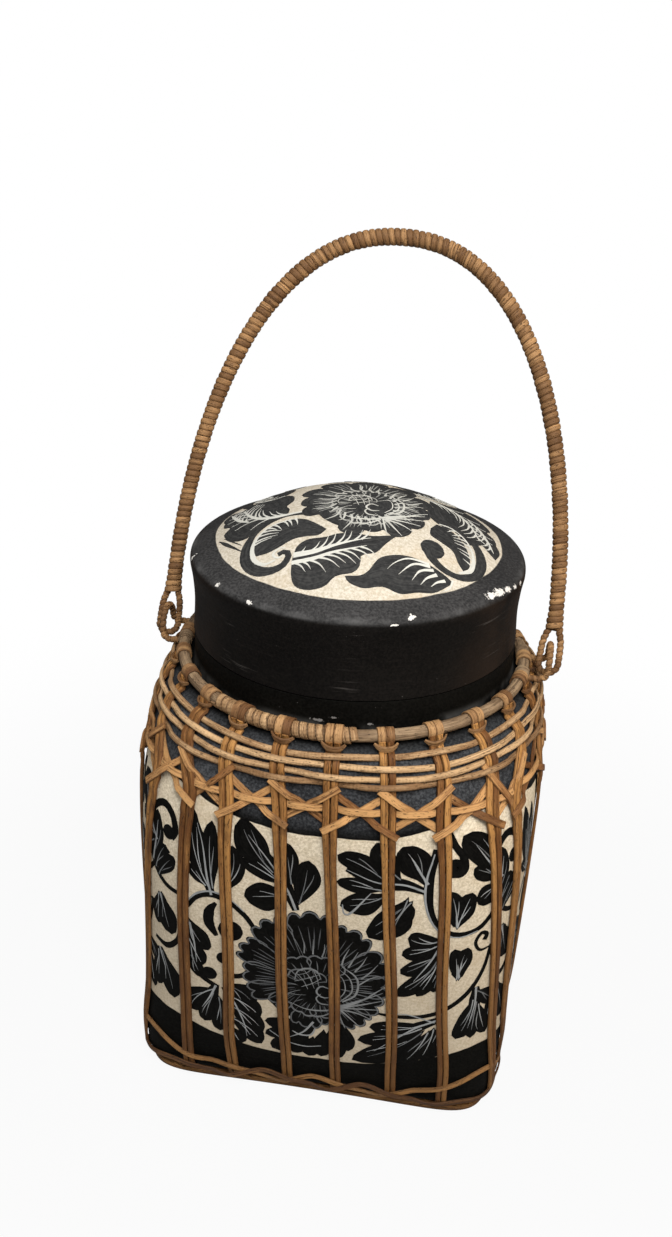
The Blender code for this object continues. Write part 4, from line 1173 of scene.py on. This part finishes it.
def stakePath(k):
    # tail under the base, round the foot, up the wall, then over the hoop; also gives the outward side
    phase = dice.random() * 6.3
    foot = np.radians(np.linspace(0, 90, 8))
    footHeight = wall["floor"] + wall["rounding"] * (1 - np.cos(foot))
    azimuth = stakeAzimuth(k, footHeight)
    edge = outline(azimuth, footHeight, wall)
    level = unit(wallNormal(azimuth, np.full(8, wall["heights"][0] + 0.5)) * np.array([1, 1, 0]))
    footNormal = level * np.sin(foot)[:, None] - upward * np.cos(foot)[:, None]
    tail = edge[0] - level[0] * np.array(net["tail"])[:, None]
    points = [tail - upward * net["seat"], edge + footNormal * net["seat"]]
    normals = [np.tile(-upward, (3, 1)), footNormal]
    height = np.concatenate([np.arange(*net["pointsBelow"]), np.arange(*net["pointsAbove"])])
    lift = net["seat"] + net["bandLift"] * ease((height - net["bandLiftFrom"]) / net["bandLiftRise"])
    for number, at in enumerate(net["weaverHeights"]):
        push = net["weaverPush"] * (1 if (k + number) % 2 else -1)
        lift = lift + push * np.exp(-(((height - at) / net["weaverPushReach"]) ** 2))
    sway = net["sway"] / net["meanRadius"] * np.sin(height / net["swayWave"] + phase)
    azimuth = stakeAzimuth(k, height) + sway * ease((height - net["swayFrom"]) / net["swayRise"])
    normal = wallNormal(azimuth, height)
    points.append(outline(azimuth, height, wall) + normal * lift[:, None])
    normals.append(normal)
    top = float(stakeAzimuth(k, net["hoopHeight"]))
    angle = np.radians(np.arange(*net["foldAngles"]))
    over = net["rod"] / 2 + (net["overBinding"] if isBound(top) else net["overRod"])
    points.append(hoopPoint(np.full(len(angle), top), angle, over))
    normals.append(outwardAt(top) * np.cos(angle)[:, None] + upward * np.sin(angle)[:, None])
    return np.concatenate(points), np.concatenate(normals), len(angle)


def isBound(azimuth):
    return net["boundFrom"] - 3 < math.degrees(azimuth) < net["boundTo"] + 3


tie = {
    "radius": 81.75,                  # of its middle, from the basket's centre line
    "overBinding": 0.35,
    "height": 200.2,
    "half": 4.7,
    # amount at a wing's tip, and the power by which it grows towards it
    "wingBack": (2.3, 2.8),
    "wingUp": (1.5, 2.4),
    "narrowed": (0.68, 2.2),          # share of the width that is lost
    "offLevel": 0.25,
    "tilt": 0.3,
    "faceDown": 0.35,
    "width": 3.3,
    "thickness": 0.85,
}


def knot(strips, k):
    # boat-shaped tie across the pair under the hoop: its wings turn back and their tips a little up
    top = float(stakeAzimuth(k, net["hoopHeight"]))
    radial, side = outwardAt(top), np.array([math.cos(top), math.sin(top), 0])
    share = np.linspace(-1, 1, 17)
    grown = (tie["wingBack"], tie["wingUp"], tie["narrowed"])
    back, rise, lost = (amount * np.abs(share) ** power for amount, power in grown)
    out = tie["radius"] + (tie["overBinding"] if isBound(top) else 0) - back
    up = tie["height"] + rise + dice.normal() * tie["offLevel"] + share * dice.normal() * tie["tilt"]
    points = radial * out[:, None] + side * (share * tie["half"])[:, None] + upward * up[:, None]
    normal = radial + side * (share**3)[:, None] - tie["faceDown"] * upward
    widths = tie["width"] * (1 - lost)
    strips.run(points, normal, np.stack([stripSection(w, tie["thickness"]) for w in widths]))


for k in range(net["stakes"]):
    pair, folds = Strips(), Strips()
    points, normals, folded = stakePath(k)
    widened = ease((points[:, 2] - net["narrowedTo"]) / net["narrowedRise"])
    narrow = net["narrowed"] + (1 - net["narrowed"]) * widened
    stem = slice(0, len(points) - folded + 2)
    for hand in (-1, 1):
        width = net["caneWidth"] * (1 + net["widthSpread"] * dice.normal()) * narrow
        offset = hand * (width + net["caneGap"]) / 2
        sections = np.stack([caneSection(w, net["caneThickness"], o) for w, o in zip(width, offset)])
        pair.run(points[stem], normals[stem], sections[stem])
        aside, lift = net["foldPlace"]
        section = stripSection(net["foldWidth"], net["foldThickness"]) + np.array([hand * aside, lift])
        folds.run(points[-folded:], normals[-folded:], section)
    pair.make(f"stake_pair_{k + 1:02d}", stakeCane, "basket", "split_rattan", [f"stake_{k + 1:02d}"])
    knot(folds, k)
    folds.make(f"stake_fold_{k + 1:02d}", foldCane, "basket", "split_rattan")

for number, at in enumerate(net["weaverHeights"]):
    # level ring over every other pair: lift = middle + reach * sign(c) |c|^0.6 with c = cos(pi * stake count)
    strips = Strips()
    azimuth = circle(480)
    count = np.arange(-13, 36)
    stakesAt = [float(stakeAzimuth(k, at)) + (k + 12) // 24 * 2 * math.pi for k in count]
    c = np.cos(math.pi * (np.interp(azimuth, stakesAt, count) + number))
    lift = net["weaverLift"] + net["weaverReach"] * np.sign(c) * np.abs(c) ** 0.6
    height = at
    for tall, waves, shift in net["weaverWaves"]:
        height = height + tall * np.sin(waves * azimuth + number * shift)
    section = ovalSection(net["weaverWidth"], net["weaverThickness"])
    strips.run(onWall(azimuth, height, lift), wallNormal(azimuth, height), section, loop=True)
    strips.make(f"ring_weaver_{number + 1}", ringCane, "basket", "split_rattan", [f"weaver_{number + 1}"])


def gapFrom(k, startHeight, endHeight):
    # azimuths of stake k at one height and of the next stake at another
    start, end = float(stakeAzimuth(k, startHeight)), float(stakeAzimuth(k + 1, endHeight))
    return start, end + (2 * math.pi if end < start else 0)


def crossing(k, rising):
    # one strip from stake k to the next; it lies over the pair at one end and slips under at the other
    upper, lower = net["bandMiddle"] + net["bandReach"], net["bandMiddle"] - net["bandReach"]
    startHeight, endHeight = (lower, upper) if rising else (upper, lower)
    overStart = k % 2 == (0 if rising else 1)
    start, end = gapFrom(k, startHeight, endHeight)
    gap = (end - start) * net["meanRadius"]
    before, after = net["bandTips"] if overStart else net["bandTips"][::-1]
    way = -before + np.linspace(0, 1, 33) * (gap + before + after)
    height = startHeight + (endHeight - startHeight) * way / gap
    azimuth = start + way / net["meanRadius"]
    lifted = net["bandCrossed"] if rising else 0.0
    base = net["bandLow"] + lifted * np.exp(-(((way - gap / 2) / net["bandCrossedReach"]) ** 2))
    on = way if overStart else gap - way
    (far, fall), (share, tip, rise) = net["bandHump"], net["bandTip"]
    hump = ease((far - on) / fall) * (share + (1 - share) * ease((on - tip) / rise))
    lift = base + (net["bandHigh"] - base) * hump
    return onWall(azimuth, height, lift), wallNormal(azimuth, height)


for name, rising in (("band_zigzag_a", True), ("band_zigzag_b", False)):
    strips = Strips()
    for k in range(net["stakes"]):
        points, normals = crossing(k, rising)
        width = net["stripWidth"] * (1 + net["stripSpread"] * dice.normal())
        strips.run(points, normals, stripSection(width, net["stripThickness"]))
    strips.make(name.replace("band", "crossed"), bandCane, "basket", "rattan_strip", [name])

# level bar: under the pairs, over the crossings
stations = np.linspace(0, 1, 13)[:-1]
gaps = [gapFrom(k, net["bandMiddle"], net["bandMiddle"]) for k in range(net["stakes"])]
azimuths = np.concatenate([start + (end - start) * stations for start, end in gaps])
begin, over = net["barRiseFrom"]
lifts = net["bandLow"] + net["barRise"] * ease((np.sin(math.pi * stations) - begin) / over)
lifts = np.tile(lifts, net["stakes"])
tall, waves, shift = net["barWave"]
heights = net["bandMiddle"] + tall * np.sin(waves * azimuths + shift)
strips = Strips()
section = stripSection(net["stripWidth"], net["stripThickness"])
strips.run(onWall(azimuths, heights, lifts), wallNormal(azimuths, heights), section, loop=True)
strips.make("level_bar", bandCane, "basket", "rattan_strip", ["band_bar"])

# rim hoop: a fibrous rod whose section has shallow lobes
rod = Strips()
azimuth, around = circle(288), circle(20)
radius = net["rod"] / 2 * (1 - net["rodLobeDepth"] * (1 + np.cos(net["rodLobes"] * around)) / 2)
section = np.stack([radius * np.cos(around), radius * np.sin(around)], axis=1)
rod.run(hoopPoint(azimuth), np.tile(upward, (288, 1)), section, loop=True, tone=0.45)
rod.make("rim_hoop_rod", rodCane, "basket", "split_rattan", ["rim_hoop"])


def windAround(strips, route, beside, radius, pitch, width, thickness, turnPoints=14, flare=0.0, crown=False,
               tone=None):
    # strand on a helix: centre + radius * (cos side + sin other), one turn each pitch of the route; flare
    # widens the radius over the last 9 mm at each end, crown rounds the strand's face
    length = np.linalg.norm(np.diff(route, axis=0), axis=1).sum()
    turns = max(1, round(length / pitch))
    centre = spaced(route, turns * turnPoints + 1)
    tangent = along(centre, False)
    side = unit(np.cross(tangent, beside))
    other = np.cross(tangent, side)
    angle = (np.arange(len(centre)) * 2 * math.pi / turnPoints)[:, None]
    out = np.cos(angle) * side + np.sin(angle) * other
    way = np.linspace(0, length, len(centre))
    wide = radius + flare * ease(1 - np.minimum(way, length - way) / 9.0)
    spots = np.arange(0, length + 2, 2.0)
    tremble = 1 + 0.02 * np.interp(way, spots, dice.normal(size=len(spots)))
    section = stripSection(width, thickness)
    if crown:
        section = caneSection(width, thickness) - np.array([0, 0.45 * thickness])
    strips.run(centre + (wide * tremble)[:, None] * out, out, section, tone=tone)


binding = Strips()
azimuth = np.radians(np.linspace(net["boundFrom"], net["boundTo"], 80))
windAround(binding, hoopPoint(azimuth), upward, net["rod"] / 2 + net["bindingLift"], *net["bindingStrand"])
binding.make("hoop_wrapping", ringCane, "basket", "split_rattan", ["hoop_binding"])

# two strips that cross between the pairs; one climbs over each corner, both lie close to it
edging = {
    "height": 11.8,
    "reach": 3.0,
    "width": 3.1,
    "thickness": 0.8,
    "lift": 0.75,
    "cornerDrop": 0.3,                # less lift at the corners
    "cornerTight": 0.75,              # share of the humps that the corners take away
    "cornerSpread": 10.0,             # degrees
    "humpHalf": 8.5,
    "stakesAt": 20.0,                 # height at which the stakes' places are read
    # wave's sign, rise at the corners, hump over a pair, further lift
    "strips": {"edging_a": (1, 17.0, 1.7, 0.0), "edging_b": (-1, -1.5, 2.45, 0.6)},
}
azimuth = math.radians(net["first"]) + circle(720)
corner = np.exp(-(((np.mod(azimuth, math.pi / 2) - math.pi / 4) / math.radians(edging["cornerSpread"])) ** 2))
tight = 1 - edging["cornerTight"] * corner
wave = edging["reach"] * np.cos(12 * (azimuth - math.radians(net["first"])))
nearStakes = np.array([float(stakeAzimuth(k, edging["stakesAt"])) for k in range(net["stakes"])])
apart = np.abs(np.mod(azimuth[:, None] - nearStakes + math.pi, 2 * math.pi) - math.pi).min(axis=1)
ring = np.linalg.norm(outline(azimuth, edging["stakesAt"], wall)[:, :2], axis=1)
overPair = np.exp(-((apart * ring / edging["humpHalf"]) ** 2))
for name, (hand, rise, hump, further) in edging["strips"].items():
    strips = Strips()
    height = edging["height"] + hand * wave * (1 - corner) + corner * rise
    lift = edging["lift"] - edging["cornerDrop"] * corner + tight * (hump * overPair + further)
    section = stripSection(edging["width"], edging["thickness"])
    strips.run(onWall(azimuth, height, lift), wallNormal(azimuth, height), section, loop=True)
    strips.make(f"low_{name}", edgeCane, "basket", "rattan_strip", [name])

footRing = {
    "inset": 4.6,                     # its middle, in from the wall's edge
    "section": [(-2.25, 0), (2.25, 0), (2.25, 1.5), (1.7, 2.25), (0, 2.4), (-1.7, 2.25), (-2.25, 1.5)],
}
foot = Strips()
edge = outline(cornered(240), np.full(240, wall["heights"][0]), wall)
points = edge - unit(edge * np.array([1, 1, 0])) * footRing["inset"]
points[:, 2] = 0.0
foot.run(points, np.tile(upward, (240, 1)), footRing["section"], loop=True)
foot.make("foot_ring", edgeCane, "basket", "split_rattan", ["foot_strip"])
print("net woven")


# Handle, eyes and ears

bail = {
    "hinge": 205.5,
    "lean": 23.6,
    "half": 87.1,
    "shift": 0.8,
    "skew": 2.2,
    "height": 171.2,
    "squareness": 2.2,
    "rod": 5.2,
    "wrapFrom": 14.5,
    "wrapRadius": 3.0,
    "wrapFlare": 0.55,
    "strand": (2.6, 2.58, 0.8),       # pitch, width, thickness
    "eyeHalf": 4.3,
    "eyeNeckHalf": 1.95,
    "eyeLength": 22.0,
    "eyeShoulder": (0.9, 0.63),       # share of the half width, share of the length
    "eyeCentre": 87.2,
    "eyeDrop": 4.7,
    "eyeCore": 2.1,
    "eyeWinding": 1.14,
    "cane": 3.0,
    "earHalf": 8.0,
    "earFootHalf": 9.6,
    "earFootDrop": 1.6,
    "earFootGap": 0.45,
    "earCore": 2.0,
    "earWinding": 1.12,
    "loopStrand": (2.5, 2.42, 0.75),
    "lashed": (5.2, 9.6),             # degrees either side of the ear
    "lashingLift": 0.35,
    "lashingStrand": (2.0, 1.8, 0.6),
}


def leaning(points):
    # from the handle's own upright plane to the basket: turned back about the hinge line
    c, s = math.cos(math.radians(bail["lean"])), math.sin(math.radians(bail["lean"]))
    x, y, z = points.T
    return np.stack([x, y * c + z * s, -y * s + z * c + bail["hinge"]], axis=1)


def bailRoute(count, start):
    # superellipse arch |x / half|^n + |z / height|^n = 1, shifted and skewed to the right, above a height
    t = np.linspace(0, math.pi, 6000)
    p = 2 / bail["squareness"]
    x = -bail["half"] * np.sign(np.cos(t)) * np.abs(np.cos(t)) ** p
    z = bail["height"] * np.sin(t) ** p
    points = np.stack([x + bail["shift"] + bail["skew"] * z / bail["height"], 0 * x, z], axis=1)
    return spaced(points[z >= start], count)


rodStart = bail["eyeLength"] - bail["eyeDrop"] + bail["cane"] / 2 + 0.3


def eyeRoute(side):
    # drop-shaped loop round the ear, its narrow top under the rod's end
    low, top = np.radians(np.linspace(180, 360, 13)), np.radians(np.linspace(0, 180, 9))
    half, neck, long = bail["eyeHalf"], bail["eyeNeckHalf"], bail["eyeLength"]
    out, shoulder = half * bail["eyeShoulder"][0], long * bail["eyeShoulder"][1]
    x = np.concatenate([half * np.cos(low), [out], neck * np.cos(top), [-out]])
    z = np.concatenate([half * (1 + np.sin(low)), [shoulder], long - neck * (1 - np.sin(top)), [shoulder]])
    rodEnd = abs(bailRoute(2, rodStart)[-1 if side > 0 else 0][0])
    middle = bail["eyeCentre"] + (rodEnd - bail["eyeCentre"]) * z / long
    points = np.stack([side * (middle + x), 0 * x, z - bail["eyeDrop"]], axis=1)
    return rounded(np.concatenate([points, points[:1]]), 160)


def earRoute(side):
    # bow that stands out from the hoop with its two feet against it
    arc = np.radians(np.linspace(0, 180, 13))
    centre, bowHalf, half, cane, drop = (bail[name] for name in (
        "eyeCentre", "earHalf", "earFootHalf", "cane", "earFootDrop"))
    bow = np.stack([0 * arc + centre, bowHalf * np.cos(arc), bail["hinge"] + bowHalf * np.sin(arc)], axis=1)
    footHeight = net["hoopHeight"] - drop
    footX = math.sqrt(net["hoopRadius"] ** 2 - half**2) + math.sqrt((net["rod"] / 2) ** 2 - drop**2)
    bend = np.array([
        [footX + bail["earFootGap"], half, footHeight],
        [centre - 0.9 * cane, half, footHeight],
        [centre - 0.1 * cane, (bowHalf + half) / 2, bail["hinge"] - 0.6 * cane],
    ])
    points = np.concatenate([bend, bow, bend[::-1] * np.array([1, -1, 1])]) * np.array([side, 1, 1])
    return rounded(points, 120)


def core(strips, route, beside, diameter, loop=False):
    outward = np.tile(np.asarray(beside, float), (len(route), 1))
    strips.run(route, outward, ovalSection(diameter, diameter, 12), loop)


rodStrips, wrapStrips = Strips(), Strips()
lean = math.radians(bail["lean"])
flatSide = np.array([0, math.cos(lean), -math.sin(lean)])
core(rodStrips, leaning(bailRoute(240, rodStart)), flatSide, bail["rod"])
rodStrips.make("bail_rod", handleCane, "handle", "handle_cane", ["handle_core"])
route = leaning(bailRoute(260, bail["wrapFrom"]))
windAround(wrapStrips, route, flatSide, bail["wrapRadius"], *bail["strand"], flare=bail["wrapFlare"],
           crown=True, tone=0.72)
wrapStrips.make("bail_wrapping", handleCane, "handle", "handle_cane", ["handle_wrap"])
for side, word in ((-1, "left"), (1, "right")):
    eye, ear, lashing = Strips(), Strips(), Strips()
    route = leaning(eyeRoute(side))
    core(eye, route[:-1], flatSide, bail["eyeCore"], loop=True)
    windAround(eye, route, flatSide, bail["eyeWinding"], *bail["loopStrand"], 10, crown=True, tone=0.6)
    eye.make(f"bail_eye_{word}", handleCane, "handle", "handle_cane", [f"handle_eye_{word}"])
    route = earRoute(side)
    core(ear, route, (side, 0, 0.001), bail["earCore"])
    beside = np.array([side, 0.05, 0.05])
    windAround(ear, route, beside, bail["earWinding"], *bail["loopStrand"], 10, crown=True, tone=0.7)
    ear.make(f"ear_bow_{word}", handleCane, "basket", "handle_cane", [f"ear_{word}"])
    # lashing of the ear's feet round the hoop
    radius = net["rod"] / 2 + bail["lashingLift"]
    for foot in (-1, 1):
        azimuth = np.radians(side * 90 + foot * np.linspace(*bail["lashed"], 12))
        windAround(lashing, hoopPoint(azimuth), upward, radius, *bail["lashingStrand"], 12)
    lashing.make(f"ear_lashing_{word}", rodCane, "basket", "split_rattan")
print("handle wound")


# Camera, floor and light

photo = {
    "size": (672, 1237),
    "focal": 1045.3,                 # pixels
    "offset": (12.6, 151.3),         # where the lens axis meets the picture, from its middle
    "azimuth": 7.6,
    "elevation": 34.3,
    "roll": 2.6,
    "distance": 0.5141,
    "target": (0.0, 0.0, 0.135),
}
studio = {
    "ambient": 0.16,
    "aim": (0, 0, 0.15),
    # position, size, watts, colour
    "key": ((0.15, -0.42, 0.76), 0.42, 6.2, (1, 1, 1)),
    "top": ((-0.25, -0.05, 1.2), 0.9, 2.1, (1, 1, 1)),
    "left": ((-1.0, -0.5, 0.7), 0.7, 0.75, (1, 1, 1)),
    "right": ((1.0, -0.3, 0.5), 0.7, 2.25, (1.0, 0.80, 0.57)),
    "floorRadius": 12,
    "floorGrey": 0.42,
    "floorWhite": (0.93, 0.07),      # share of white that the lens sees near the basket, more far from it
    "whiteFrom": (0.16, 0.5),        # the second share is added between these distances
}


def camera():
    a, e, r = (math.radians(photo[name]) for name in ("azimuth", "elevation", "roll"))
    back = Vector((math.sin(a) * math.cos(e), -math.cos(a) * math.cos(e), math.sin(e)))
    right = Vector((math.cos(a), math.sin(a), 0))
    up = back.cross(right)
    x, y = right * math.cos(r) + up * math.sin(r), up * math.cos(r) - right * math.sin(r)
    data = bpy.data.cameras.new("camera")
    data.sensor_fit = "VERTICAL"
    data.sensor_height = 36.0
    data.lens = photo["focal"] / photo["size"][1] * data.sensor_height
    data.shift_x = -photo["offset"][0] / photo["size"][1]
    data.shift_y = photo["offset"][1] / photo["size"][1]
    data.clip_start, data.clip_end = 0.01, 50
    eye = bpy.data.objects.new("camera", data)
    turn = Matrix((x, y, back)).transposed().to_4x4()
    eye.matrix_world = Matrix.Translation(Vector(photo["target"]) + back * photo["distance"]) @ turn
    bpy.context.scene.collection.objects.link(eye)
    bpy.context.scene.camera = eye


def lamp(name):
    position, size, energy, colour = studio[name]
    data = bpy.data.lights.new(name, "AREA")
    data.shape, data.size, data.energy, data.color = "DISK", size, energy, colour
    made = bpy.data.objects.new(name, data)
    made.location = position
    aim = Vector(studio["aim"]) - Vector(position)
    made.rotation_euler = aim.to_track_quat("-Z", "Y").to_euler()
    bpy.context.scene.collection.objects.link(made)


def floor():
    # one wide round sheet; the lens sees it mostly as plain white, with the basket's own soft shadow kept
    rings, spokes = 24, 96
    a = circle(spokes)
    radii = studio["floorRadius"] * np.linspace(0.0005, 1, rings)[:, None] ** 2
    points = np.stack([radii * np.cos(a), radii * np.sin(a), 0 * radii * a], -1)
    index = np.arange(rings * spokes).reshape(rings, spokes)
    beside = np.roll(index, -1, axis=1)
    quads = np.stack([index[:-1], index[1:], beside[1:], beside[:-1]], -1).reshape(-1, 4)
    mesh = bpy.data.meshes.new("floor")
    mesh.from_pydata(points.reshape(-1, 3).tolist(), [], quads.tolist() + [index[0].tolist()])
    paint = Paint("floor", 0.0)
    paint.surface.inputs["Base Color"].default_value = (*[studio["floorGrey"]] * 3, 1)
    white = paint.node("ShaderNodeEmission", {}, {"Color": (1, 1, 1, 1), "Strength": 1.0})
    x, y, _ = paint.parts(paint.place())
    far = ((x * x + y * y) ** 0.5).rise(*studio["whiteFrom"])
    near, rest = studio["floorWhite"]
    seen = paint.node("ShaderNodeLightPath", {}, {}, "Is Camera Ray") * (near + far * rest)
    grey = Value(paint, paint.surface.outputs[0])
    mixed = paint.node("ShaderNodeMixShader", {}, {0: seen, 1: grey, 2: white})
    paint.tree.links.new(mixed.socket, paint.tree.nodes["Material Output"].inputs[0])
    mesh.materials.append(paint.material)
    made = bpy.data.objects.new("floor", mesh)
    bpy.context.scene.collection.objects.link(made)


def world():
    # plain white to the lens, a dim even light to everything else
    made = bpy.data.worlds.new("studio")
    made.use_nodes = True
    tree = made.node_tree
    path = tree.nodes.new("ShaderNodeLightPath")
    strength = tree.nodes.new("ShaderNodeMapRange")
    tree.links.new(path.outputs["Is Camera Ray"], strength.inputs["Value"])
    strength.inputs["To Min"].default_value = studio["ambient"]
    strength.inputs["To Max"].default_value = 1.0
    tree.links.new(strength.outputs[0], tree.nodes["Background"].inputs["Strength"])
    tree.nodes["Background"].inputs["Color"].default_value = (1, 1, 1, 1)
    bpy.context.scene.world = made


camera()
floor()
world()
for name in ("key", "top", "left", "right"):
    lamp(name)
bpy.context.scene.view_settings.view_transform = "Standard"
print("camera and light set")
